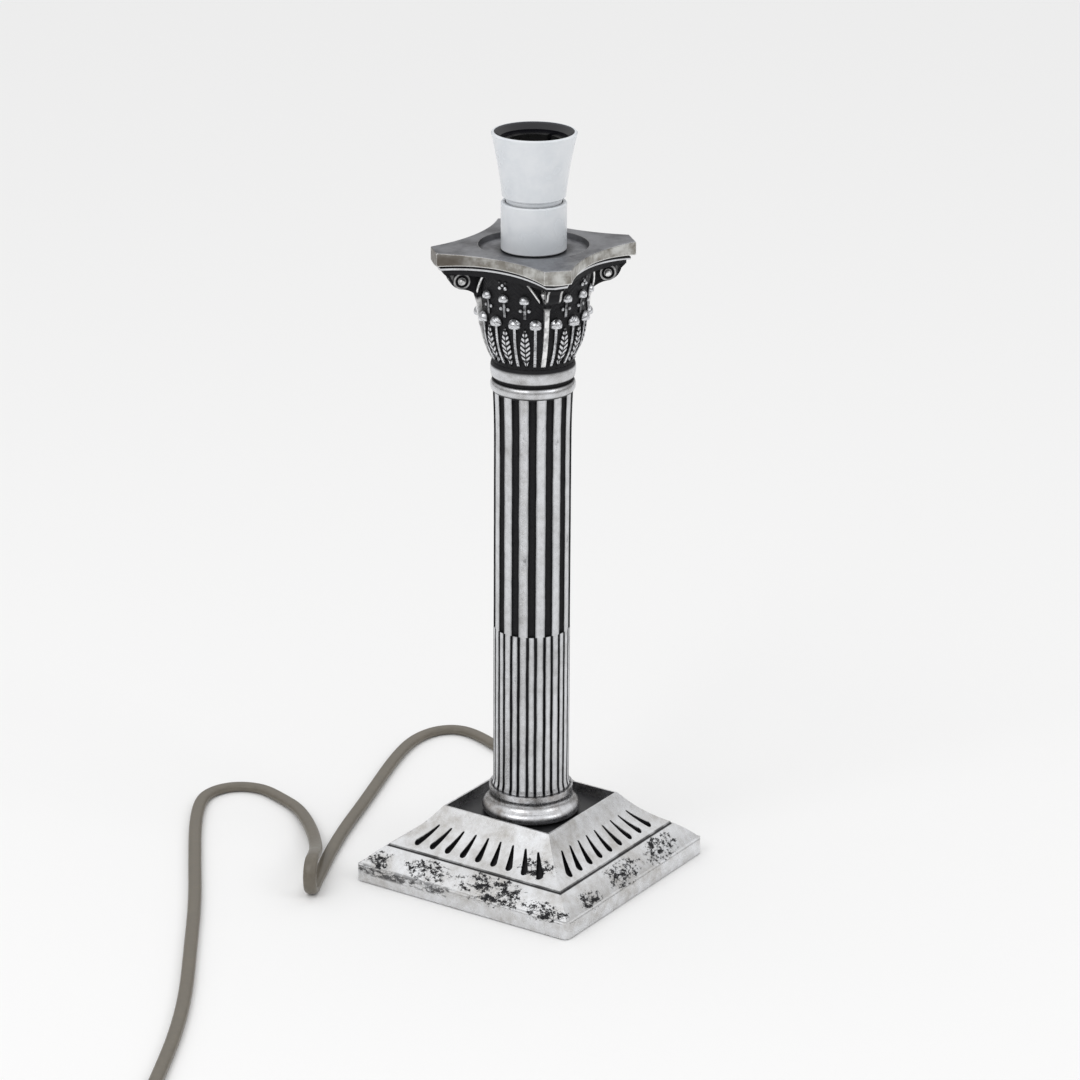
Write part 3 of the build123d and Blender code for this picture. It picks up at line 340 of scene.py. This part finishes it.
def smooth_line(points, name, resolution=10):
    """Points along the quadratic NURBS spline that the given control points draw."""
    curve = bpy.data.curves.new(name, "CURVE")
    curve.dimensions = "3D"
    curve.resolution_u = resolution
    spline = curve.splines.new("NURBS")
    spline.points.add(len(points) - 1)
    for place, point in zip(spline.points, points):
        place.co = (*point, 1.0)
    spline.order_u = 3
    spline.use_endpoint_u = True
    holder = bpy.data.objects.new(name, curve)
    mesh = bpy.data.meshes.new_from_object(holder)
    line = []
    for vertex in mesh.vertices:
        if not line or (vertex.co - line[-1]).length > LEAST_STEP:
            line.append(vertex.co.copy())
    bpy.data.objects.remove(holder)
    bpy.data.meshes.remove(mesh)
    return line


def flat_tube(line, width, height, stand, name, sides=20):
    """Mesh of a flat cord along a line. stand(length) is how far it stands on its edge there, 0 to 1."""
    lengths = [0.0]
    for before, after in zip(line, line[1:]):
        lengths.append(lengths[-1] + (after - before).length)
    vertices, faces = [], []
    wide = None
    for index, point in enumerate(line):
        tangent = (line[min(index + 1, len(line) - 1)] - line[max(index - 1, 0)]).normalized()
        level = Vector((0, 0, 1)).cross(tangent)
        if wide is None or level.length > LEVEL_ENOUGH:
            level.normalize()
            wide = level if wide is None or level.dot(wide) > 0 else -level
        wide = (wide - tangent * wide.dot(tangent)).normalized()
        thin = tangent.cross(wide)
        roll = stand(lengths[index]) * math.pi / 2
        across = wide * math.cos(roll) + thin * math.sin(roll)
        upright = tangent.cross(across)
        for corner in range(sides):
            angle = 2 * math.pi * corner / sides
            flat = (abs(math.cos(angle)) ** SECTION_POWER) * math.copysign(1, math.cos(angle))
            tall = (abs(math.sin(angle)) ** SECTION_POWER) * math.copysign(1, math.sin(angle))
            vertices.append(point + across * flat * width / 2 + upright * tall * height / 2)
    for ring in range(len(line) - 1):
        for corner in range(sides):
            beside = (corner + 1) % sides
            faces.append((ring * sides + corner, ring * sides + beside, (ring + 1) * sides + beside,
                          (ring + 1) * sides + corner))
    faces.append(tuple(reversed(range(sides))))
    last = (len(line) - 1) * sides
    faces.append(tuple(range(last, last + sides)))
    mesh = bpy.data.meshes.new(name)
    mesh.from_pydata(vertices, [], faces)
    mesh.polygons.foreach_set("use_smooth", [True] * len(mesh.polygons))
    piece = bpy.data.objects.new(name, mesh)
    bpy.context.scene.collection.objects.link(piece)
    return piece, lengths[-1]


def make_cord():
    turns, coil_out = coil_points()
    control = [Vector(point) for point in ROUTE] + turns + tail_points(coil_out)
    line = smooth_line(control, "cord_line")
    lead = sum((Vector(b) - Vector(a)).length for a, b in zip(ROUTE, ROUTE[1:]))
    coil = math.pi * sum(coil_radii()[1:-1]) + math.pi * (coil_radii()[0] + coil_radii()[-1]) / 2

    def stand(length):
        rise = min(max((length - lead + TURNING_LENGTH) / TURNING_LENGTH, 0), 1)
        fall = min(max((length - lead - coil) / TURNING_LENGTH, 0), 1)
        return rise - fall

    cord, length = flat_tube(line, CORD_WIDTH, CORD_HEIGHT, stand, "flex")
    print("flex length", round(length, 4))
    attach(cord, "lamp")
    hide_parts("cord_lead", "cord_coil", "cord_tail")
    return cord


cord = make_cord()


# ---------------------------------------------------------------- silver
BRIGHT = (0.70, 0.71, 0.735)
DULL = (0.27, 0.26, 0.245)
# Black both for tarnish in hollows and for painted shade; each mask says which.
OXIDE_AND_SHADE_BLACK = (0.010, 0.010, 0.012)
SHAFT_RADIUS = 0.01645
FLUTE_STEP = 2 * math.pi / 14
FLUTE_START = math.radians(-56.65)
FLUTE_BOTTOM = 0.11385
CABLE_EDGE = 0.00172
COLLAR_FOOT = 0.2200
COLLAR_GROOVE = 0.22575
COLLAR_TOP = 0.2332
CAPITAL_TURN = math.radians(2.0)
LEAF_STEP = math.radians(22.5)
# The bell's radius by height, as in the frame.
BELL_SIDE = ((0.2332, 0.0172), (0.2365, 0.0170), (0.2408, 0.0196), (0.2436, 0.0206), (0.2470, 0.0213),
             (0.2515, 0.0217), (0.2570, 0.0221), (0.2620, 0.0226), (0.2680, 0.0234), (0.2735, 0.0248))
EAR_MIDDLE = 0.2436
EAR_HALF_HEIGHT = 0.0090
EAR_HALF_WIDTH = 0.0020
KERNEL_PITCH = 0.0023
KERNEL_SLANT = 0.9
EAR_BELL_RADIUS = 0.0215
SCROLL_RADIUS = 0.0312
SCROLL_HEIGHT = 0.2696
SCROLL_RIM = 0.0032


def silver(name, dark, roughness=0.28, tarnish=0.45, bright=BRIGHT, dull=DULL, relief=None,
           relief_height=0.00006):
    """Silver plate: bright where it is rubbed, dull in clouds, black where the mask dark is 1."""
    shader = Shader(name)
    mask = dark(shader)
    clouds = shader.spread(shader.noise(55.0, 6.0, 0.6), 0.40, 0.68)
    grain = shader.noise(620.0, 6.0, 0.7)
    streaks = shader.spread(shader.noise(240.0, 5.0, 0.65), 0.35, 0.75)
    dullness = shader.math("MULTIPLY", shader.math("ADD", clouds, streaks), tarnish / 2)
    metal = shader.mix(dullness, bright, dull)
    color = shader.mix(mask, metal, OXIDE_AND_SHADE_BLACK)
    rough = shader.math("ADD", shader.spread(grain, 0.3, 0.7, roughness - 0.07, roughness + 0.09),
                        shader.math("MULTIPLY", mask, 0.32))
    metallic = shader.spread(mask, 0.0, 1.0, 1.0, 0.5, smooth=False)
    height = grain
    if relief is not None:
        height = shader.math("ADD", shader.math("MULTIPLY", grain, 0.15), relief(shader))
    return shader.finish(color, metallic, rough, bump=height, bump_height=relief_height)


def shaft_dark(shader):
    """Black in the flutes and in the grooves beside the cables, shading off on the bars' flanks."""
    across = shader.math("ABSOLUTE", shader.around(FLUTE_START, FLUTE_STEP, 0.5))
    across = shader.math("MULTIPLY", across, FLUTE_STEP * SHAFT_RADIUS)
    wander = shader.spread(shader.noise(300.0, 5.0, 0.55, (1, 1, 0.25)), 0.3, 0.7, -0.0001, 0.0001)
    across = shader.math("ADD", across, wander)
    flutes = shader.math("ADD", shader.spread(across, 0.00185, 0.0016, 0.0, 0.6),
                         shader.spread(across, 0.0027, 0.0017, 0.0, 0.4))
    from_groove = shader.math("ABSOLUTE", shader.math("SUBTRACT", across, CABLE_EDGE))
    grooves = shader.math("ADD", shader.spread(from_groove, 0.0008, 0.0005, 0.0, 0.65),
                          shader.spread(from_groove, 0.0015, 0.0005, 0.0, 0.35))
    upper = shader.spread(shader.axes()[2], FLUTE_BOTTOM - 0.0003, FLUTE_BOTTOM + 0.0003)
    lines = shader.math("ADD", shader.math("MULTIPLY", flutes, upper),
                        shader.math("MULTIPLY", grooves, shader.math("SUBTRACT", 1.0, upper)))
    stains = shader.spread(shader.noise(170.0, 7.0, 0.75, (1, 1, 0.45)), 0.60, 0.72)
    edge = shader.spread(shader.math("SUBTRACT", SHAFT_RADIUS, shader.radius()), 0.0001, 0.0004)
    return shader.largest(lines, edge, shader.math("MULTIPLY", stains, 0.6))


def foot_dark(shader):
    """Painted shade, black in the recesses of the foot, and black pits."""
    # Painted shade: black where the foot's recesses hold shade.
    recess = shader.spread(shader.hollow(0.0022), 0.16, 0.42)
    return shader.largest(recess, shader.spread(shader.noise(330.0, 7.0, 0.75), 0.63, 0.68))


def collar_dark(shader):
    """Black in the groove between the two rings and in the shade under the bell, with thin dirt."""
    _, _, z = shader.axes()
    groove = shader.spread(shader.math("ABSOLUTE", shader.math("SUBTRACT", z, COLLAR_GROOVE)), 0.0016, 0.0008)
    top = shader.spread(z, COLLAR_TOP - 0.0024, COLLAR_TOP - 0.0012)
    foot = shader.spread(z, COLLAR_FOOT + 0.0012, COLLAR_FOOT + 0.0002)
    dirt = shader.spread(shader.noise(330.0, 7.0, 0.75), 0.64, 0.72)
    return shader.largest(groove, top, foot, shader.math("MULTIPLY", dirt, 0.7))


def bell_proud(shader):
    """How far a point stands out from the plain bell."""
    low, high = BELL_SIDE[0][0], BELL_SIDE[-1][0]
    _, _, z = shader.axes()
    ramp = shader.node("ValToRGB", Fac=shader.spread(z, low, high, smooth=False))
    elements = ramp.color_ramp.elements
    while len(elements) < len(BELL_SIDE):
        elements.new(1.0)
    for element, (height, radius) in zip(elements, BELL_SIDE):
        element.position = (height - low) / (high - low)
        element.color = (radius * 10, radius * 10, radius * 10, 1.0)
    return shader.math("SUBTRACT", shader.radius(), shader.math("MULTIPLY", ramp.outputs[0], 0.1))


def kernels(shader):
    """The slanting grains of the ears, 1 on a grain. The second value is 1 all over an ear."""
    _, _, z = shader.axes()
    across = shader.math("ABSOLUTE", shader.around(CAPITAL_TURN, LEAF_STEP, 0.5))
    across = shader.math("MULTIPLY", across, LEAF_STEP * EAR_BELL_RADIUS)
    share = shader.math("DIVIDE", shader.math("SUBTRACT", z, EAR_MIDDLE), EAR_HALF_HEIGHT)
    width = shader.math("MULTIPLY", shader.math("SUBTRACT", 1.0, shader.math("MULTIPLY", share, share)),
                        EAR_HALF_WIDTH)
    inside = shader.spread(shader.math("SUBTRACT", width, across), -0.00045, -0.00025)
    slant = shader.math("SUBTRACT", z, shader.math("MULTIPLY", across, KERNEL_SLANT))
    row = shader.math("DIVIDE", slant, KERNEL_PITCH)
    wave = shader.math("ABSOLUTE", shader.math("SUBTRACT", shader.math("FRACT", row), 0.5))
    grain = shader.spread(wave, 0.34, 0.22)
    seam = shader.spread(across, 0.00012, 0.0003)
    return shader.math("MULTIPLY", grain, seam), inside


def capital_dark(shader):
    """Black ground, with only the leaves, the beads and the grains of the ears left bright, and painted shade
    on them where they sink into hollows.
    """
    grain, inside = kernels(shader)
    proud = bell_proud(shader)
    wander = shader.spread(shader.noise(420.0, 4.0), 0.3, 0.7, -0.0002, 0.0002)
    raised = shader.spread(shader.math("ADD", proud, wander), 0.0004, 0.0011)
    ear = shader.math("MULTIPLY", shader.spread(proud, 0.0002, 0.0005), grain)
    light = shader.math("ADD", shader.math("MULTIPLY", raised, shader.math("SUBTRACT", 1.0, inside)),
                        shader.math("MULTIPLY", ear, inside))
    # Painted shade: the bright parts darken where they sink into hollows.
    light = shader.math("MULTIPLY", light, shader.spread(shader.hollow(0.002), 0.75, 0.4))
    return shader.math("SUBTRACT", 1.0, shader.math("MINIMUM", light, 1.0))


def scroll_dark(shader):
    """Black, save for the stem, the stalks, the eye, the scroll's rim and the edges of its front."""
    quarter = math.pi / 2
    off = shader.math("MULTIPLY", shader.around(CAPITAL_TURN, quarter), quarter)
    lateral = shader.math("ABSOLUTE", shader.math("MULTIPLY", shader.radius(), shader.math("SINE", off)))
    outward = shader.math("MULTIPLY", shader.radius(), shader.math("COSINE", off))
    _, _, z = shader.axes()
    from_eye = shader.math("SQRT", shader.math(
        "ADD", shader.math("POWER", shader.math("SUBTRACT", outward, SCROLL_RADIUS), 2.0),
        shader.math("POWER", shader.math("SUBTRACT", z, SCROLL_HEIGHT), 2.0)))
    flank = shader.spread(lateral, 0.0026, 0.0029)
    eye = shader.math("MULTIPLY", shader.spread(from_eye, 0.0019, 0.0014), flank)
    from_rim = shader.math("ABSOLUTE", shader.math("SUBTRACT", from_eye, SCROLL_RIM))
    rim = shader.math("MULTIPLY", shader.spread(from_rim, 0.0006, 0.0002), flank)
    front = shader.math("MULTIPLY", shader.spread(lateral, 0.0021, 0.0026),
                        shader.math("MULTIPLY", shader.spread(lateral, 0.00318, 0.0031),
                                    shader.spread(outward, 0.0340, 0.0352)))
    stem = shader.spread(z, 0.2625, 0.2605)
    stalks = shader.spread(lateral, 0.0033, 0.0035)
    wander = shader.spread(shader.noise(380.0, 4.0), 0.35, 0.60, 0.55, 1.0)
    light = shader.largest(eye, shader.math("MULTIPLY", rim, 0.55), shader.math("MULTIPLY", front, 0.8),
                           stem, stalks)
    return shader.math("SUBTRACT", 1.0, shader.math("MULTIPLY", light, wander))


# The arches of the plate's underside, by the fillet beneath it.
ARCH_HALF_CHORD = 0.029
ARCH_RISE = 0.002
FILLET_BOTTOM = 0.2747


def moulding_dark(shader):
    """Only the thin fillet under the plate stays bright."""
    x, y, z = shader.axes()
    nearest = shader.math("MINIMUM", shader.math("ABSOLUTE", x), shader.math("ABSOLUTE", y))
    nearest = shader.math("DIVIDE", nearest, ARCH_HALF_CHORD)
    arch = shader.math("SUBTRACT", 1.0, shader.math("MULTIPLY", nearest, nearest))
    arch = shader.math("MULTIPLY", arch, ARCH_RISE)
    bottom = shader.math("SUBTRACT", z, shader.math("ADD", arch, FILLET_BOTTOM))
    below = shader.spread(bottom, 0.0001, -0.0002)
    above = shader.spread(bottom, 0.0006, 0.0009)
    return shader.largest(below, above)


DISH_RADIUS = 0.0225


def plate_dark(shader):
    """Painted shadow round the foot of the holder, painted shade along the dish's edge, and thin dirt."""
    from_ring = shader.math("ABSOLUTE", shader.math("SUBTRACT", shader.radius(), DISH_RADIUS))
    # Painted shade along the edge of the dish.
    ring = shader.spread(from_ring, 0.0016, 0.0002)
    # Painted shadow round the foot of the holder.
    around = shader.spread(shader.radius(), 0.0185, 0.0140)
    dirt = shader.spread(shader.noise(150.0, 6.0, 0.7), 0.60, 0.75)
    return shader.math("MULTIPLY", shader.largest(shader.math("MULTIPLY", ring, 0.6), around,
                                                  shader.math("MULTIPLY", dirt, 0.5)), 0.75)


# Places on the plinth where the plate has gone, with their half sizes.
WORN = (
    ((-0.044, -0.0505, 0.0100), (0.011, 0.009, 0.007)),
    ((-0.020, -0.0500, 0.0110), (0.019, 0.010, 0.009)),
    ((0.013, -0.0500, 0.0105), (0.028, 0.012, 0.010)),
    ((0.041, -0.0520, 0.0090), (0.020, 0.009, 0.006)),
    ((0.0520, -0.032, 0.0100), (0.009, 0.013, 0.006)),
    ((0.0510, -0.004, 0.0115), (0.010, 0.022, 0.009)),
    ((0.0505, 0.027, 0.0115), (0.010, 0.020, 0.009)),
    ((0.028, -0.0385, 0.0215), (0.013, 0.009, 0.008)),
)
# The plinth's hollow slope, by distance from the axis: its foot, its middle and its top.
SLOPE = ((0.0444, 0.0163), (0.0357, 0.0228), (0.0283, 0.0310))
STEP_ACROSS = 0.0447
HEM_HEIGHT = 0.0062


def below_slope(shader, across):
    """How far a point lies under the hollow slope, as a parabola through the slope's three places."""
    (foot, low), (middle, half_way), (head, high) = SLOPE
    first = (half_way - low) / (middle - foot)
    second = ((high - half_way) / (head - middle) - first) / (head - foot)
    from_foot = shader.math("SUBTRACT", across, foot)
    product = shader.math("MULTIPLY", from_foot, shader.math("SUBTRACT", across, middle))
    bend = shader.math("MULTIPLY", product, second)
    height = shader.math("ADD", shader.math("ADD", shader.math("MULTIPLY", from_foot, first), bend), low)
    return shader.math("SUBTRACT", height, shader.axes()[2])


def plinth_dark(shader):
    """Black in the slots and the step, and black pits where the plate has gone."""
    x, y, z = shader.axes()
    across = shader.math("MAXIMUM", shader.math("ABSOLUTE", x), shader.math("ABSOLUTE", y))
    on_slope = shader.math("MULTIPLY", shader.spread(across, 0.0452, 0.0446),
                           shader.spread(across, 0.0285, 0.0290))
    slots = shader.math("MULTIPLY", shader.spread(below_slope(shader, across), 0.00022, 0.00045), on_slope)
    step = shader.spread(shader.math("ABSOLUTE", shader.math("SUBTRACT", across, STEP_ACROSS)), 0.0007, 0.0003)
    step = shader.math("MULTIPLY", step, shader.spread(shader.noise(120.0, 4.0), 0.30, 0.60, 0.35, 0.85))
    worn = shader.largest(*(shader.blob(centre, size) for centre, size in WORN))
    coarse = shader.noise(290.0, 8.0, 0.80, (1, 1, 1.6))
    lowest = shader.spread(worn, 0.0, 1.0, 0.66, 0.475, smooth=False)
    pits = shader.spread(shader.math("SUBTRACT", coarse, lowest), 0.0, 0.045)
    hem = shader.spread(shader.math("ABSOLUTE", shader.math("SUBTRACT", z, HEM_HEIGHT)), 0.0026, 0.0012)
    along_left = shader.math("MULTIPLY", shader.spread(x, 0.022, -0.020), shader.spread(y, -0.050, -0.053))
    hem_lowest = shader.spread(along_left, 0.0, 1.0, 0.66, 0.44, smooth=False)
    hem_coarse = shader.noise(190.0, 8.0, 0.8, (1, 1, 2))
    hem_pits = shader.spread(shader.math("SUBTRACT", hem_coarse, hem_lowest), 0.0, 0.09)
    hem_pits = shader.math("MULTIPLY", hem, hem_pits)
    return shader.largest(slots, step, pits, shader.math("MULTIPLY", hem_pits, 0.85))


def plain(name, color, metallic=0.0, roughness=0.45, variation=0.12, scale=300.0, bump_height=0.00004):
    """Plain surface with a fine grain in its colour and its relief."""
    shader = Shader(name)
    grain = shader.noise(scale, 5.0, 0.65)
    low = tuple(channel * (1 - variation) for channel in color)
    high = tuple(min(channel * (1 + variation), 1.0) for channel in color)
    mixed = shader.mix(shader.spread(grain, 0.3, 0.7), low, high)
    rough = shader.spread(grain, 0.3, 0.7, roughness - 0.06, roughness + 0.06)
    return shader.finish(mixed, metallic, rough, bump=grain, bump_height=bump_height)


MOUTH_FOOT = 0.3150


def holder_plastic():
    """Glossy white, a little blue, with painted shade inside the mouth, grey and then black, and painted shade
    in the recesses.
    """
    shader = Shader("holder_plastic")
    clouds = shader.spread(shader.noise(60.0, 4.0, 0.6), 0.35, 0.70)
    outside = shader.mix(clouds, (0.80, 0.825, 0.855), (0.71, 0.745, 0.785))
    x, y, z = shader.axes()
    normal = shader.normal()
    outward = shader.math("ADD", shader.math("MULTIPLY", x, normal[0]), shader.math("MULTIPLY", y, normal[1]))
    # Painted shade inside the mouth, on its inner wall and its ledge.
    wall = shader.spread(outward, -0.0005, -0.0030)
    ledge = shader.math("MULTIPLY", shader.spread(shader.radius(), 0.01665, 0.0164),
                        shader.spread(normal[2], 0.3, 0.6))
    mouth = shader.math("MULTIPLY", shader.largest(wall, ledge),
                        shader.spread(z, MOUTH_FOOT, MOUTH_FOOT + 0.001))
    depth = shader.spread(shader.radius(), 0.0165, 0.0160)
    # The painted shade goes from grey to black deeper in.
    inside = shader.mix(depth, (0.030, 0.032, 0.040), (0.007, 0.007, 0.010))
    color = shader.mix(mouth, outside, inside)
    # Painted shade in the holder's recesses.
    recess_shade = shader.spread(shader.hollow(0.003), 0.35, 0.75)
    color = shader.mix(shader.math("MULTIPLY", recess_shade, 0.75), color, (0.05, 0.05, 0.06))
    grain = shader.noise(900.0, 4.0, 0.6)
    rough = shader.spread(clouds, 0.0, 1.0, 0.20, 0.30, smooth=False)
    return shader.finish(color, 0.0, rough, bump=grain, bump_height=0.00001)


def plate_silver():
    """The abacus: satin grey, its top painted darker than its sides as a painted dark reflection, brown with
    tarnish along one side, and a painted highlight along its edges.
    """
    shader = Shader("silver_plate")
    mask = plate_dark(shader)
    _, _, z = shader.axes()
    clouds = shader.spread(shader.noise(70.0, 6.0, 0.6), 0.35, 0.70)
    # The top's darker grey, against the lighter sides, is a painted dark reflection.
    top = shader.mix(clouds, (0.31, 0.315, 0.335), (0.13, 0.13, 0.14))
    side_patch = shader.spread(shader.noise(130.0, 5.0, 0.6), 0.35, 0.65)
    side = shader.mix(side_patch, (0.60, 0.60, 0.58), (0.24, 0.225, 0.20))
    brown = shader.math("MULTIPLY", shader.blob((-0.028, -0.032, 0.2795), (0.026, 0.012, 0.0060)), 0.9)
    side = shader.mix(brown, side, (0.11, 0.095, 0.08))
    # Which way the surface faces picks the lighter side grey or the painted dark top.
    upright = shader.math("MULTIPLY", shader.spread(shader.normal()[2], 0.80, 0.45),
                          shader.spread(shader.radius(), 0.0240, 0.0250))
    color = shader.mix(upright, top, side)
    # Painted highlight along the sharp edges.
    color = shader.mix(shader.spread(shader.edges(0.0007), 0.15, 0.45), color, (0.86, 0.86, 0.85))
    color = shader.mix(mask, color, OXIDE_AND_SHADE_BLACK)
    grain = shader.noise(620.0, 6.0, 0.7)
    rough = shader.spread(grain, 0.3, 0.7, 0.30, 0.46)
    return shader.finish(color, 1.0, rough, bump=grain, bump_height=0.00006)


wear(silver("silver_shaft", shaft_dark, tarnish=0.6), "fluted_shaft")
wear(silver("silver_capital", capital_dark, tarnish=0.15, relief=lambda shader: kernels(shader)[0],
            relief_height=0.0003), "capital_bell")
# The scrolls' silver is given a brighter tone than the rest, painted light against the shade they sit in under
# the plate.
wear(silver("silver_scroll", scroll_dark, roughness=0.4, tarnish=0.1, bright=(0.92, 0.92, 0.92)),
     *(f"corner_volute_{n}" for n in range(1, 5)))
wear(plate_silver(), "abacus_plate")
wear(silver("silver_moulding", moulding_dark, tarnish=0.5), "abacus_moulding")
wear(silver("silver_ring", collar_dark, tarnish=0.7), "neck_collar")
wear(silver("silver_foot", foot_dark, tarnish=1.0, dull=(0.17, 0.14, 0.115)), "column_foot")
wear(silver("silver_base", plinth_dark, roughness=0.30, tarnish=0.75, bright=(0.77, 0.78, 0.80),
            dull=(0.37, 0.345, 0.31)), "base_shell")

wear(plain("felt", (0.05, 0.07, 0.06), roughness=0.9, variation=0.4, scale=1500.0), "felt_pad")
wear(plain("iron", (0.06, 0.06, 0.06), metallic=0.5, roughness=0.6), "base_weight")
wear(plain("well_black", (0.020, 0.020, 0.022), metallic=0.4, roughness=0.35, variation=0.5, scale=120.0),
     "well_plate")
wear(plain("steel", (0.55, 0.55, 0.55), metallic=1.0, roughness=0.35), "bottom_plate", "rod_nut",
     "rod_washer", "tie_rod", "holder_lock_nut", "plunger_spring_left", "plunger_spring_right",
     "terminal_screw_left", "terminal_screw_right", "clamp_screw_1", "clamp_screw_2",
     *(f"base_screw_{n}" for n in range(1, 5)))
wear(plain("brass", (0.75, 0.56, 0.28), metallic=1.0, roughness=0.3), "plunger_left", "plunger_right",
     "terminal_left", "terminal_right", "plug_line_pin", "plug_neutral_pin", "plug_earth_pin")
wear(holder_plastic(), "holder_cup", "holder_skirt", "contact_block")
wear(plain("black_plastic", (0.012, 0.012, 0.012), roughness=0.3), "bayonet_barrel", "cord_bush",
     "cord_clamp")
wear(plain("plug_white", (0.80, 0.80, 0.78), roughness=0.3, variation=0.03), "plug_body", "plug_relief")
wear(plain("fuse_red", (0.35, 0.03, 0.02), roughness=0.3), "plug_fuse_carrier")
wear(plain("tie_black", (0.02, 0.02, 0.02), roughness=0.9, variation=0.5, scale=1200.0), "coil_tie")
sheath = plain("sheath", (0.148, 0.131, 0.104), roughness=0.38, variation=0.10, scale=260.0)
wear(sheath, "inner_flex", "lead_left", "lead_right")
cord.data.materials.append(sheath)
